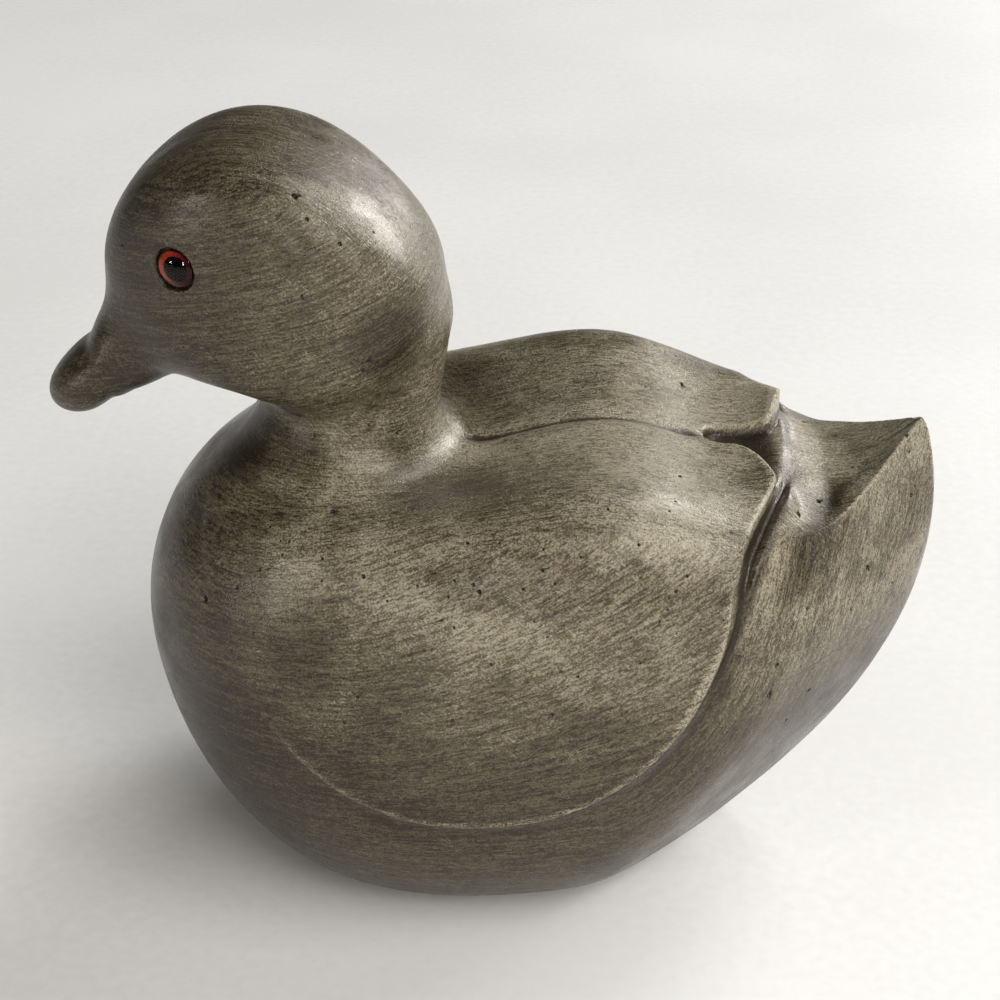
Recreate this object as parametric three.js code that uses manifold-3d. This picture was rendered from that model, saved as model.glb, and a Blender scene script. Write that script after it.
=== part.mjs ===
import * as THREE from 'three';
import Module from 'manifold-3d';

// A cast resin duck figurine sitting on its flat underside, with two glass eyes.
// Millimetres. +Z is up, the bill points to -X, the tail to +X, and y = 0 is the middle of the duck.
// The whole duck is one smooth form, so its surface is where a distance-like function is zero.

// Body. Outline: distance from the body centre to its side view, every 22.5 degrees, tail first.
const BODY_CENTRE = { x: 4, z: 42 };
const BODY_OUTLINE = [
  79.8, 91.3, 87.1, 74.4, 64.8, 58.9, 57.4, 66.9, 63.5, 59.9, 56.7, 49, 45.7, 46.6, 53, 65.6,
];
const BODY_HALF_WIDTH = 44.4;
const BODY_ROUNDNESS = { level: 2.48, upright: 0 };
const BODY_SPAN = 60;
const BODY_WIDTH_CHANGE = { x: -0.061, z: -0.085, xx: -0.127, zz: 0.08, xz: -0.028 };

// Stern: the keel line seen from the side, the spread of the flanks in plan, their pinch towards the tail
// point, and the rounding of the keel lower down.
const STERN = { x: 79.7, z: 66.5, bow: 0.0082, spread: 1.113, fullness: 0.0019, steepness: 0.62 };
const STERN_PINCH = { reach: 3.4, share: 0.75, low_z: 56, high_z: 76 };
const STERN_BLEND = 3.6;
const KEEL_ROUND = { sharp: 1, blunt: 5, sharp_z: 82, blunt_z: 52 };

// Back: height of the back every 20 mm from 76 mm in front of the middle, and its crown across.
const BACK_START = -76;
const BACK_STEP = 20;
const BACK_HEIGHTS = [90, 87.6, 83, 75.4, 78.8, 84.9, 74, 86.5, 165];
const BACK_CROWN = { flat: -0.003, change: 0.0028, from: 14, span: 40, shoulder: 13.6, steepness: 0.95 };

// Tail: the hollow between the wing tips and the upturned point.
const TAIL = { low_x: 60.4, low_z: 77.9, upturn: 0.034 };
const TAIL_CROWN = { fall: -0.0061, flat_y: 30, slope: 0.02, slope_x: 63, end_x: 80, growth: 4, crease: 0.6 };
const TAIL_LEAD = { height: 1.7, from: 50, to: 61, steep_x: 32, steepness: 1.2 };
const TAIL_BLEND = 0.7;

// Wings: outline seen from the side about its own centre, every 22.5 degrees, tail first.
const WING_CENTRE = { x: 4, z: 75 };
const WING_OUTLINE = [40.6, 50, 62, 62, 62, 62, 60, 52, 50, 49, 49.2, 47.5, 44.4, 44, 42.2, 39.6];
const WING_THICKNESS = 3;
const WING_THINNEST = 0.05;
const WING_RISE = { from: -37.9, to: 45.7 };
const WING_FRONT = { share: 0.42, from_x: -38, to_x: -18, low_z: 34, high_z: 56 };
const WING_EDGE_BLEND = 3.2;
const WING_FILLET = 2.6;
const WING_TIP = { reach: 5.25, inner: 10, outer: 26, from: 24, to: 39 };

// Steps of the rear edge: a ledge below the wing, a groove along its foot and a shallow valley behind it.
const REAR = { from_x: 32, to_x: 44 };
const LEDGE = { width: 4.6, share: 0.3, slope: 0.1, low_z: 60, high_z: 76, low_y: 11, high_y: 23 };
const LEDGE_TOP = { low_z: 79, high_z: 83.5 };
const LEDGE_BLEND = 1.4;
const LEDGE_EDGE_BLEND = 2.8;
const GROOVE = { at: 1.1, depth: 0.9, half_width: 1, low_z: 40, high_z: 62, low_y: 11, high_y: 19 };
const VALLEY = { at: 9.5, depth: 0.9, half_width: 3, low_z: 60, high_z: 76, low_y: 9, high_y: 21 };

// Slot between the wing tips: round at the front, then open to the rear.
const SLOT = { middle: 42.5, half_length: 3.9, half_width: 2.8, blend: 1.4 };
const SLOT_OPENING = { from_x: 45.5, growth: 0.3, most: 25 };
const SLOT_FLOOR = { drop: 0.6, slope: 0.14, from_x: 43 };

// Shallow groove along the back between the wings.
const BACK_GROOVE = { depth: 0.6, half_width: 1.7, low_z: 70, high_z: 76 };
const BACK_GROOVE_SPAN = { from: -8, full: 0, fade: 34, end: 42 };

// Head and bill, and the short neck between head and body.
const HEAD_CENTRE = { x: -33, z: 112 };
const HEAD_OUTLINE = [27.5, 21.6, 20.2, 22.6, 26.7, 28.6, 31, 28.4, 19.6, 19.7, 23.8, 27.9];
const HEAD_HALF_WIDTH = 20.6;
const HEAD_ROUNDNESS = { level: 2.46, upright: 1.98 };
const HEAD_SPAN = 30;
const HEAD_WIDTH_CHANGE = { x: 0.255, z: 0.07, xx: 0.006, zz: 0.074, xz: 0.049 };
const BILL_CENTRE = { x: -64, z: 93 };
const BILL_OUTLINE = [9.8, 13.2, 12.6, 9.9, 5.7, 6.6, 8.6, 14.6, 9.4, 4.6, 5.4, 5.5];
const BILL_HALF_WIDTH = 8.6;
const BILL_ROUNDNESS = { level: 2.3, upright: 0 };
const BILL_SPAN = 20;
const NO_CHANGE = { x: 0, z: 0, xx: 0, zz: 0, xz: 0 };
const NARROWEST = 3;
const NECK = { x: -22.8, z: 87.2, half_length: 15.3, half_width: 16.1, lean: 0.17, reach: 20, round: 6 };
const NECK_BLEND = 11.8;
const BILL_BLEND = 10.2;
const CHEEK_BLEND = 3;
const FOOT_BLEND = 3;
const FOOT_FLAT = 0.06;

// Glass eyes: domes let into shallow sockets with a thin gap all round.
const EYE = { x: -48.2, y: 16.7, z: 117.8, turn_x: -0.4, turn_y: 0.916, turn_z: -0.02 };
const EYE_RADIUS = 3.45;
const EYE_DOME = 1.35;
const EYE_DEPTH = 1.7;
const EYE_SINK = 0.35;
const EYE_GAP = 0.3;
const EYE_SIDES = 28;

// Fineness of the faceted form: the grid it is found on, and how its points and faces are kept in order.
const CELL = 1.3;
const GRID_START = [-78, 0, -1.1];
const GRID_COUNT = [124, 38, 108];
const HALF_FACES = 4200;
const PROBE = 0.05;
const SETTLE = { rounds: 4, longest: 0.6, least_slope: 0.05 };
const THINNING = {
  face_weight: 0.01,
  middle_weight: 0.2,
  length_weight: 2e-6,
  least_turn: 0.3,
  least_area: 1e-4,
  least_spread: 1e-3,
};

// The forms above are laid out from the bill; the finished duck is centred between bill and tail.
const MIDDLE_X = 2.16;

const smoothStep = (a, b, x) => {
  const t = Math.min(Math.max((x - a) / (b - a), 0), 1);
  return t * t * (3 - 2 * t);
};

// Joining and meeting two forms with a rounded line of the given size.
const join = (a, b, size) => {
  const h = Math.min(Math.max(0.5 + (0.5 * (b - a)) / size, 0), 1);
  return b * (1 - h) + a * h - size * h * (1 - h);
};
const meet = (a, b, size) => -join(-a, -b, size);

// Weighted middle of four neighbouring sizes, which gives a smooth line through a row of them.
const blendFour = (a, b, c, d, u) => {
  const v = 1 - u;
  const first = v * v * v * a;
  const second = (3 * u * u * u - 6 * u * u + 4) * b;
  const third = (-3 * u * u * u + 3 * u * u + 3 * u + 1) * c;
  return (first + second + third + u * u * u * d) / 6;
};

// Outline size in a direction (in turns), from sizes spaced evenly round the circle.
const around = (sizes, turn) => {
  const n = sizes.length;
  const at = (turn - Math.floor(turn)) * n;
  const i = Math.floor(at) % n;
  const u = at - Math.floor(at);
  return blendFour(sizes[(i + n - 1) % n], sizes[i], sizes[(i + 1) % n], sizes[(i + 2) % n], u);
};

// Size along a row, from sizes spaced evenly.
const along = (sizes, at) => {
  const n = sizes.length;
  const t = Math.min(Math.max(at, 1), n - 2.001);
  const i = Math.floor(t);
  return blendFour(sizes[i - 1], sizes[i], sizes[i + 1], sizes[Math.min(i + 2, n - 1)], t - i);
};

// A rounded form with the given side outline and half width.
const roundForm = (x, y, z, centre, outline, halfWidth, roundness, span, change) => {
  const dx = x - centre.x;
  const dz = z - centre.z;
  const r = Math.hypot(dx, dz) + 1e-9;
  const share = r / around(outline, Math.atan2(dz, dx) / (2 * Math.PI));
  const a = dx / span;
  const b = dz / span;
  const grow = 1 + change.x * a + change.z * b + change.xx * a * a + change.zz * b * b + change.xz * a * b;
  const width = Math.max(halfWidth * grow, NARROWEST);
  const power = roundness.level + roundness.upright * (dz / r) ** 2;
  const q = (share ** power + (Math.abs(y) / width) ** power) ** (1 / power);
  return Math.hypot(r, y) * (1 - 1 / Math.max(q, 1e-6));
};

const backHeight = (x, y) => {
  const crown = BACK_CROWN.flat + (BACK_CROWN.change * (x - BACK_CROWN.from)) / BACK_CROWN.span;
  return along(BACK_HEIGHTS, (x - BACK_START) / BACK_STEP) - crown * y * y;
};

// Body without wings: the round form, the two flanks that meet at the stern, and the back.
const plainBody = (x, y, z) => {
  const form = roundForm(
    x, y, z, BODY_CENTRE, BODY_OUTLINE, BODY_HALF_WIDTH, BODY_ROUNDNESS, BODY_SPAN, BODY_WIDTH_CHANGE,
  );
  const ahead = STERN.x - STERN.bow * (STERN.z - z) ** 2 - x;
  const lower = 1 - smoothStep(KEEL_ROUND.blunt_z, KEEL_ROUND.sharp_z, z);
  const edge = KEEL_ROUND.sharp + (KEEL_ROUND.blunt - KEEL_ROUND.sharp) * lower;
  const out = Math.hypot(y, edge) - edge;
  const within = Math.max(ahead, 0);
  const pinchShare = STERN_PINCH.share * smoothStep(STERN_PINCH.low_z, STERN_PINCH.high_z, z);
  const pinch = pinchShare * (within + STERN_PINCH.reach - Math.hypot(within, STERN_PINCH.reach));
  const flank = out - STERN.spread * (ahead - pinch) + STERN.fullness * within ** 2;
  const sides = meet(form, flank * STERN.steepness, STERN_BLEND);
  return meet(sides, (z - backHeight(x, y)) * BACK_CROWN.steepness, BACK_CROWN.shoulder);
};

const tailHeight = (x, y) => {
  const behind = Math.max(x - TAIL.low_x, 0);
  const lead = TAIL_LEAD.height * (1 - smoothStep(TAIL_LEAD.from, TAIL_LEAD.to, x));
  const steep = TAIL_LEAD.steepness * Math.max(TAIL_LEAD.steep_x - x, 0);
  const crown = TAIL_CROWN.fall * Math.min(y * y, TAIL_CROWN.flat_y ** 2);
  const pastScoop = Math.min(x, TAIL_CROWN.end_x) - TAIL_CROWN.slope_x;
  const slope = TAIL_CROWN.slope * Math.exp(pastScoop / TAIL_CROWN.growth);
  const scoop = slope * (Math.hypot(y, TAIL_CROWN.crease) - TAIL_CROWN.crease);
  return TAIL.low_z + TAIL.upturn * behind * behind + lead + steep + crown + scoop;
};

// Distance outside the wing outline in the side view; the tips reach further back near the middle.
const outsideWing = (x, z) => {
  const dx = x - WING_CENTRE.x;
  const dz = z - WING_CENTRE.z;
  return Math.hypot(dx, dz) - around(WING_OUTLINE, Math.atan2(dz, dx) / (2 * Math.PI));
};
const tipReach = (x, y) => {
  const near = 1 - smoothStep(WING_TIP.inner, WING_TIP.outer, Math.abs(y));
  return WING_TIP.reach * near * smoothStep(WING_TIP.from, WING_TIP.to, x);
};

// How far a place lies inside the slot between the wing tips.
const insideSlot = (x, y) => {
  const ahead = Math.max(SLOT.middle - x, 0) / SLOT.half_length;
  const width = SLOT.half_width * (Math.sqrt(Math.max(1 - ahead * ahead, 0)) - Math.max(ahead - 1, 0));
  const opening = SLOT_OPENING.growth * Math.max(x - SLOT_OPENING.from_x, 0) ** 2;
  return width + Math.min(opening, SLOT_OPENING.most) - Math.abs(y);
};

const bell = (x, middle, size) => Math.exp(-(((x - middle) / size) ** 2));

// Share of a rear step at a place: it fades in towards the tail, upwards and away from the middle.
const rearShare = (part, x, y, z) => {
  const back = smoothStep(REAR.from_x, REAR.to_x, x);
  const up = smoothStep(part.low_z, part.high_z, z);
  return back * up * smoothStep(part.low_y, part.high_y, Math.abs(y));
};

const wingThickness = (x, z) => {
  const rise = smoothStep(WING_RISE.from, WING_RISE.to, x);
  const low = 1 - smoothStep(WING_FRONT.low_z, WING_FRONT.high_z, z);
  const front = WING_FRONT.share * low * smoothStep(WING_FRONT.from_x, WING_FRONT.to_x, x);
  return WING_THICKNESS * (rise + (1 - rise) * front);
};

const wingedBody = (x, y, z) => {
  const plain = plainBody(x, y, z);
  const outside = outsideWing(x, z) - tipReach(x, y);
  const thickness = wingThickness(x, z);
  const edged = meet(plain - thickness, outside, WING_EDGE_BLEND);
  const wing = meet(edged, insideSlot(x, y), SLOT.blend);
  const belowTop = 1 - smoothStep(LEDGE_TOP.low_z, LEDGE_TOP.high_z, z);
  const reach = LEDGE.width * rearShare(LEDGE, x, y, z) * belowTop;
  const drop = SLOT_FLOOR.drop + SLOT_FLOOR.slope * Math.max(x - SLOT_FLOOR.from_x, 0);
  const floor = drop * (1 - smoothStep(LEDGE.low_y, LEDGE.high_y, Math.abs(y)));
  const ledgeTop = plain - thickness * LEDGE.share + LEDGE.slope * Math.max(outside, 0) + floor;
  const ledge = meet(ledgeTop, outside - reach, LEDGE_EDGE_BLEND);
  let body = meet(plain, z - tailHeight(x, y), TAIL_BLEND);
  body += rearShare(VALLEY, x, y, z) * VALLEY.depth * bell(outside, VALLEY.at, VALLEY.half_width);
  const fillet = Math.min(Math.max(thickness, WING_THINNEST), WING_FILLET);
  body = join(body, join(wing, ledge, LEDGE_BLEND), fillet);
  body += rearShare(GROOVE, x, y, z) * GROOVE.depth * bell(outside, GROOVE.at, GROOVE.half_width);
  const fadeIn = smoothStep(BACK_GROOVE_SPAN.from, BACK_GROOVE_SPAN.full, x);
  const fadeOut = 1 - smoothStep(BACK_GROOVE_SPAN.fade, BACK_GROOVE_SPAN.end, x);
  const middle = fadeIn * fadeOut * smoothStep(BACK_GROOVE.low_z, BACK_GROOVE.high_z, z);
  return body + middle * BACK_GROOVE.depth * bell(y, 0, BACK_GROOVE.half_width);
};

const neckForm = (x, y, z) => {
  const middle = NECK.x + NECK.lean * (z - NECK.z);
  const round = Math.hypot((x - middle) / NECK.half_length, y / NECK.half_width) - 1;
  return meet(round * NECK.half_length, Math.abs(z - NECK.z) - NECK.reach, NECK.round);
};

const duck = (x, y, z) => {
  const head = roundForm(
    x, y, z, HEAD_CENTRE, HEAD_OUTLINE, HEAD_HALF_WIDTH, HEAD_ROUNDNESS, HEAD_SPAN, HEAD_WIDTH_CHANGE,
  );
  const bill = roundForm(
    x, y, z, BILL_CENTRE, BILL_OUTLINE, BILL_HALF_WIDTH, BILL_ROUNDNESS, BILL_SPAN, NO_CHANGE,
  );
  const lower = join(wingedBody(x, y, z), neckForm(x, y, z), NECK_BLEND);
  return meet(join(lower, join(head, bill, BILL_BLEND), CHEEK_BLEND), -z, FOOT_BLEND);
};

// Outward direction of the surface at a point.
const outward = (x, y, z) => {
  const g = new THREE.Vector3(
    duck(x + PROBE, y, z) - duck(x - PROBE, y, z),
    duck(x, y + PROBE, z) - duck(x, y - PROBE, z),
    duck(x, y, z + PROBE) - duck(x, y, z - PROBE),
  );
  return g.divideScalar(2 * PROBE);
};

// Moves a point onto the surface; points of the middle line stay in the middle.
const settle = (p, onMiddle) => {
  for (let round = 0; round < SETTLE.rounds; round += 1) {
    const g = outward(p[0], p[1], p[2]);
    if (onMiddle) g.y = 0;
    const step = duck(p[0], p[1], p[2]) / Math.max(g.lengthSq(), SETTLE.least_slope);
    g.multiplyScalar(step).clampLength(0, SETTLE.longest);
    p[0] -= g.x;
    p[1] -= g.y;
    p[2] -= g.z;
  }
  if (onMiddle) p[1] = 0;
  if (Math.abs(p[2]) < FOOT_FLAT) p[2] = 0;
};

// The half of the surface with y >= 0, from a grid of cubes cut into six corner-to-corner wedges each.
const halfSurface = () => {
  const start = GRID_START;
  const count = GRID_COUNT;
  const nodes = new Float64Array(count[0] * count[1] * count[2]);
  const index = (i, j, k) => (k * count[1] + j) * count[0] + i;
  const place = (n) => {
    const i = n % count[0];
    const j = Math.floor(n / count[0]) % count[1];
    const k = Math.floor(n / (count[0] * count[1]));
    return [start[0] + i * CELL, start[1] + j * CELL, start[2] + k * CELL];
  };
  for (let n = 0; n < nodes.length; n += 1) {
    const value = duck(...place(n));
    nodes[n] = Math.abs(value) < 1e-4 ? 1e-4 : value;
  }
  const points = [];
  const middle = [];
  const known = new Map();
  const crossing = (a, b) => {
    const key = Math.min(a, b) * nodes.length + Math.max(a, b);
    if (!known.has(key)) {
      const pa = place(a);
      const pb = place(b);
      const t = nodes[a] / (nodes[a] - nodes[b]);
      const p = pa.map((v, axis) => v + t * (pb[axis] - v));
      known.set(key, points.length);
      points.push(p);
      middle.push(pa[1] === 0 && pb[1] === 0);
    }
    return known.get(key);
  };
  const faces = [];
  const addFace = (a, b, c, from, to) => {
    const pa = new THREE.Vector3(...points[a]);
    const u = new THREE.Vector3(...points[b]).sub(pa);
    const v = new THREE.Vector3(...points[c]).sub(pa);
    const facing = u.cross(v).dot(to.clone().sub(from));
    faces.push(facing > 0 ? [a, b, c] : [a, c, b]);
  };
  const centreOf = (list) => {
    const sum = new THREE.Vector3();
    list.forEach((n) => sum.add(new THREE.Vector3(...place(n))));
    return sum.divideScalar(list.length);
  };
  const paths = [[1, 3], [3, 2], [2, 6], [6, 4], [4, 5], [5, 1]];
  for (let k = 0; k < count[2] - 1; k += 1) {
    for (let j = 0; j < count[1] - 1; j += 1) {
      for (let i = 0; i < count[0] - 1; i += 1) {
        const corner = (c) => index(i + (c & 1), j + ((c >> 1) & 1), k + ((c >> 2) & 1));
        for (const [first, second] of paths) {
          const four = [corner(0), corner(first), corner(second), corner(7)];
          const inner = four.filter((n) => nodes[n] < 0);
          const outer = four.filter((n) => nodes[n] >= 0);
          if (inner.length === 0 || outer.length === 0) continue;
          const from = centreOf(inner);
          const to = centreOf(outer);
          if (inner.length === 2) {
            const [a, b] = inner;
            const [c, d] = outer;
            const ac = crossing(a, c);
            const bd = crossing(b, d);
            addFace(ac, crossing(a, d), bd, from, to);
            addFace(ac, bd, crossing(b, c), from, to);
          } else {
            const one = inner.length === 1 ? inner[0] : outer[0];
            const rest = inner.length === 1 ? outer : inner;
            addFace(...rest.map((n) => crossing(one, n)), from, to);
          }
        }
      }
    }
  }
  points.forEach((p, n) => settle(p, middle[n]));
  return { points, faces, middle };
};

// Planes met by a vertex, summed so the best place for it can be found (a symmetric 4 by 4 sum).
const addPlane = (sum, nx, ny, nz, d, weight) => {
  sum[0] += weight * nx * nx;
  sum[1] += weight * nx * ny;
  sum[2] += weight * nx * nz;
  sum[3] += weight * nx * d;
  sum[4] += weight * ny * ny;
  sum[5] += weight * ny * nz;
  sum[6] += weight * ny * d;
  sum[7] += weight * nz * nz;
  sum[8] += weight * nz * d;
  sum[9] += weight * d * d;
};
const misfit = (s, [x, y, z]) => (
  s[0] * x * x + 2 * s[1] * x * y + 2 * s[2] * x * z + 2 * s[3] * x + s[4] * y * y
  + 2 * s[5] * y * z + 2 * s[6] * y + s[7] * z * z + 2 * s[8] * z + s[9]
);
const bestPlace = (s, a, b) => {
  const choices = [0, 0.25, 0.5, 0.75, 1].map((t) => a.map((v, axis) => v + t * (b[axis] - v)));
  const m = new THREE.Matrix3().set(s[0], s[1], s[2], s[1], s[4], s[5], s[2], s[5], s[7]);
  if (Math.abs(m.determinant()) > THINNING.least_spread) {
    const p = new THREE.Vector3(-s[3], -s[6], -s[8]).applyMatrix3(m.invert());
    const reach = Math.hypot(...a.map((v, axis) => v - b[axis]));
    if (p.distanceTo(new THREE.Vector3(...choices[2])) < reach) choices.push([p.x, p.y, p.z]);
  }
  return choices.reduce((best, p) => (misfit(s, p) < misfit(s, best) ? p : best));
};

// A heap of edges with the cheapest one on top.
class EdgeHeap {
  constructor() {
    this.items = [];
  }

  push(item) {
    const list = this.items;
    let i = list.length;
    list.push(item);
    while (i > 0) {
      const up = (i - 1) >> 1;
      if (list[up].cost <= item.cost) break;
      list[i] = list[up];
      i = up;
    }
    list[i] = item;
  }

  pop() {
    const list = this.items;
    const top = list[0];
    const last = list.pop();
    if (list.length > 0) {
      let i = 0;
      for (;;) {
        let child = 2 * i + 1;
        if (child >= list.length) break;
        if (child + 1 < list.length && list[child + 1].cost < list[child].cost) child += 1;
        if (list[child].cost >= last.cost) break;
        list[i] = list[child];
        i = child;
      }
      list[i] = last;
    }
    return top;
  }
}

// Merges short and flat edges, cheapest first, until the wanted number of faces is left.
const thinOut = ({ points, faces, middle }, wanted) => {
  const facesOf = points.map(() => new Set());
  const sums = points.map(() => new Float64Array(10));
  const version = new Uint32Array(points.length);
  const cross = (a, b, c) => [
    (b[1] - a[1]) * (c[2] - a[2]) - (b[2] - a[2]) * (c[1] - a[1]),
    (b[2] - a[2]) * (c[0] - a[0]) - (b[0] - a[0]) * (c[2] - a[2]),
    (b[0] - a[0]) * (c[1] - a[1]) - (b[1] - a[1]) * (c[0] - a[0]),
  ];
  faces.forEach((face, f) => {
    const [a, b, c] = face.map((v) => points[v]);
    const n = cross(a, b, c);
    const size = Math.hypot(...n) + 1e-15;
    const [nx, ny, nz] = n.map((v) => v / size);
    const d = -(nx * a[0] + ny * a[1] + nz * a[2]);
    face.forEach((v) => {
      facesOf[v].add(f);
      addPlane(sums[v], nx, ny, nz, d, size / 6 + THINNING.face_weight);
      if (middle[v]) addPlane(sums[v], 0, 1, 0, 0, THINNING.middle_weight);
    });
  });
  const neighbours = (v) => {
    const set = new Set();
    facesOf[v].forEach((f) => faces[f].forEach((w) => set.add(w)));
    set.delete(v);
    return set;
  };
  const heap = new EdgeHeap();
  const offer = (a, b) => {
    if (middle[a] && middle[b]) {
      let shared = 0;
      facesOf[a].forEach((f) => {
        shared += facesOf[b].has(f) ? 1 : 0;
      });
      if (shared !== 1) return;
    }
    const sum = sums[a].map((v, n) => v + sums[b][n]);
    let p = bestPlace(sum, points[a], points[b]);
    if (middle[a] || middle[b]) p = [p[0], 0, p[2]];
    const length = Math.hypot(...points[a].map((v, axis) => v - points[b][axis]));
    const cost = misfit(sum, p) + THINNING.length_weight * length * length;
    heap.push({ a, b, p, cost, stamp: version[a] + version[b] });
  };
  points.forEach((_, a) => neighbours(a).forEach((b) => (a < b ? offer(a, b) : 0)));
  let left = faces.length;
  const sameSide = (v, other, p) => [...facesOf[v]].every((f) => {
    if (faces[f].includes(other)) return true;
    const before = faces[f].map((w) => points[w]);
    const after = faces[f].map((w) => (w === v ? p : points[w]));
    const m = cross(...before);
    const n = cross(...after);
    const dot = m[0] * n[0] + m[1] * n[1] + m[2] * n[2];
    const size = Math.hypot(...n);
    return dot > THINNING.least_turn * Math.hypot(...m) * size && size > THINNING.least_area;
  });
  while (left > wanted && heap.items.length > 0) {
    const { a, b, p, stamp } = heap.pop();
    if (stamp !== version[a] + version[b] || !facesOf[a] || !facesOf[b]) continue;
    const near = neighbours(a);
    if (!near.has(b)) continue;
    const gone = [...facesOf[a]].filter((f) => facesOf[b].has(f));
    const common = [...neighbours(b)].filter((v) => near.has(v));
    if (common.length !== gone.length || !sameSide(a, b, p) || !sameSide(b, a, p)) continue;
    gone.forEach((f) => faces[f].forEach((v) => facesOf[v].delete(f)));
    gone.forEach((f) => {
      faces[f] = null;
    });
    left -= gone.length;
    facesOf[b].forEach((f) => {
      faces[f] = faces[f].map((v) => (v === b ? a : v));
      facesOf[a].add(f);
    });
    facesOf[b] = null;
    points[a] = p;
    middle[a] = middle[a] || middle[b];
    sums[a] = sums[a].map((v, n) => v + sums[b][n]);
    version[a] += version[b] + 1;
    version[b] = 0;
    neighbours(a).forEach((v) => offer(a, v));
  }
  const used = points.map((_, v) => v).filter((v) => facesOf[v] && facesOf[v].size > 0);
  const renumber = new Map(used.map((v, n) => [v, n]));
  return {
    points: used.map((v) => points[v]),
    middle: used.map((v) => middle[v]),
    faces: faces.filter(Boolean).map((face) => face.map((v) => renumber.get(v))),
  };
};

// Both halves of the duck as one closed list of points and faces.
const duckShell = () => {
  const half = thinOut(halfSurface(), HALF_FACES);
  half.points.forEach((p, n) => settle(p, half.middle[n]));
  const points = half.points.map((p) => [...p]);
  const mirrored = half.points.map((p, n) => {
    if (half.middle[n]) return n;
    points.push([p[0], -p[1], p[2]]);
    return points.length - 1;
  });
  const faces = [...half.faces, ...half.faces.map(([a, b, c]) => [mirrored[a], mirrored[c], mirrored[b]])];
  return { points, faces };
};

// Half section of an eye, or of its socket when it is grown by the gap and opened to the outside.
const eyeSection = (gap, open) => {
  const rows = 7;
  const sphere = (EYE_RADIUS * EYE_RADIUS + EYE_DOME * EYE_DOME) / (2 * EYE_DOME);
  const half = Math.asin(EYE_RADIUS / sphere);
  const line = [new THREE.Vector2(0, -EYE_DEPTH - gap)];
  line.push(new THREE.Vector2(EYE_RADIUS * 0.8 + gap, -EYE_DEPTH - gap));
  line.push(new THREE.Vector2(EYE_RADIUS + gap, -EYE_DEPTH * 0.5));
  line.push(new THREE.Vector2(EYE_RADIUS + gap, 0));
  if (open) {
    line.push(new THREE.Vector2(EYE_RADIUS + gap, open));
    line.push(new THREE.Vector2(0, open));
    return line;
  }
  for (let n = 1; n <= rows; n += 1) {
    const angle = half * (1 - n / rows);
    line.push(new THREE.Vector2(sphere * Math.sin(angle), EYE_DOME - sphere * (1 - Math.cos(angle))));
  }
  line[line.length - 1].x = 0;
  return line;
};

// A turned piece as points and faces, each point kept once.
const turned = (section) => {
  const points = [];
  const faces = [];
  const rings = section.map((p) => {
    const ring = [];
    const sides = p.x < 1e-9 ? 1 : EYE_SIDES;
    for (let s = 0; s < sides; s += 1) {
      const angle = (2 * Math.PI * s) / EYE_SIDES;
      ring.push(points.length);
      points.push([p.x * Math.cos(angle), p.x * Math.sin(angle), p.y]);
    }
    return ring;
  });
  for (let r = 0; r + 1 < rings.length; r += 1) {
    const low = rings[r];
    const high = rings[r + 1];
    for (let s = 0; s < EYE_SIDES; s += 1) {
      const next = (s + 1) % EYE_SIDES;
      if (high.length > 1) faces.push([low[s % low.length], high[next], high[s]]);
      if (low.length > 1) faces.push([low[s], low[next], high[next % high.length]]);
    }
  }
  return { points, faces };
};

// Turns a piece so its own +Z looks out of the head and puts it at the eye; side is 1 or -1.
const seatEye = ({ points, faces }, side) => {
  const look = new THREE.Vector3(EYE.turn_x, EYE.turn_y * side, EYE.turn_z).normalize();
  const turn = new THREE.Quaternion().setFromUnitVectors(new THREE.Vector3(0, 0, 1), look);
  const seat = new THREE.Vector3(EYE.x, EYE.y * side, EYE.z).addScaledVector(look, -EYE_SINK);
  const placed = points.map((p) => new THREE.Vector3(...p).applyQuaternion(turn).add(seat).toArray());
  return { points: placed, faces };
};

const wasm = await Module();
wasm.setup();

const solidOf = ({ points, faces }) => new wasm.Manifold(new wasm.Mesh({
  numProp: 3,
  vertProperties: new Float32Array(points.flat()),
  triVerts: new Uint32Array(faces.flat()),
}));

const geometryOf = (solid) => {
  const { vertProperties, triVerts } = solid.getMesh();
  const geometry = new THREE.BufferGeometry();
  geometry.setAttribute('position', new THREE.BufferAttribute(new Float32Array(vertProperties), 3));
  geometry.setIndex(new THREE.BufferAttribute(new Uint32Array(triVerts), 1));
  geometry.computeVertexNormals();
  return geometry;
};

const group = new THREE.Group();
const addPiece = (name, solid, material) => {
  const mesh = new THREE.Mesh(geometryOf(solid), material);
  mesh.name = name;
  mesh.position.x = -MIDDLE_X;
  group.add(mesh);
};

const sockets = [1, -1].map((side) => solidOf(seatEye(turned(eyeSection(EYE_GAP, 3)), side)));
const body = sockets.reduce((solid, socket) => solid.subtract(socket), solidOf(duckShell()));
const castResin = new THREE.MeshStandardMaterial({ color: 0x6e695a, roughness: 0.45, metalness: 0 });
addPiece('duck_body', body, castResin);

const eye = turned(eyeSection(0, 0));
const eyeGlass = () => new THREE.MeshStandardMaterial({ color: 0x35100c, roughness: 0.05, metalness: 0 });
addPiece('left_eye', solidOf(seatEye(eye, -1)), eyeGlass());
addPiece('right_eye', solidOf(seatEye(eye, 1)), eyeGlass());

export default group;
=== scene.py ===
import math

import bmesh
import bpy
import numpy as np
from mathutils import Matrix, Vector, noise


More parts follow.
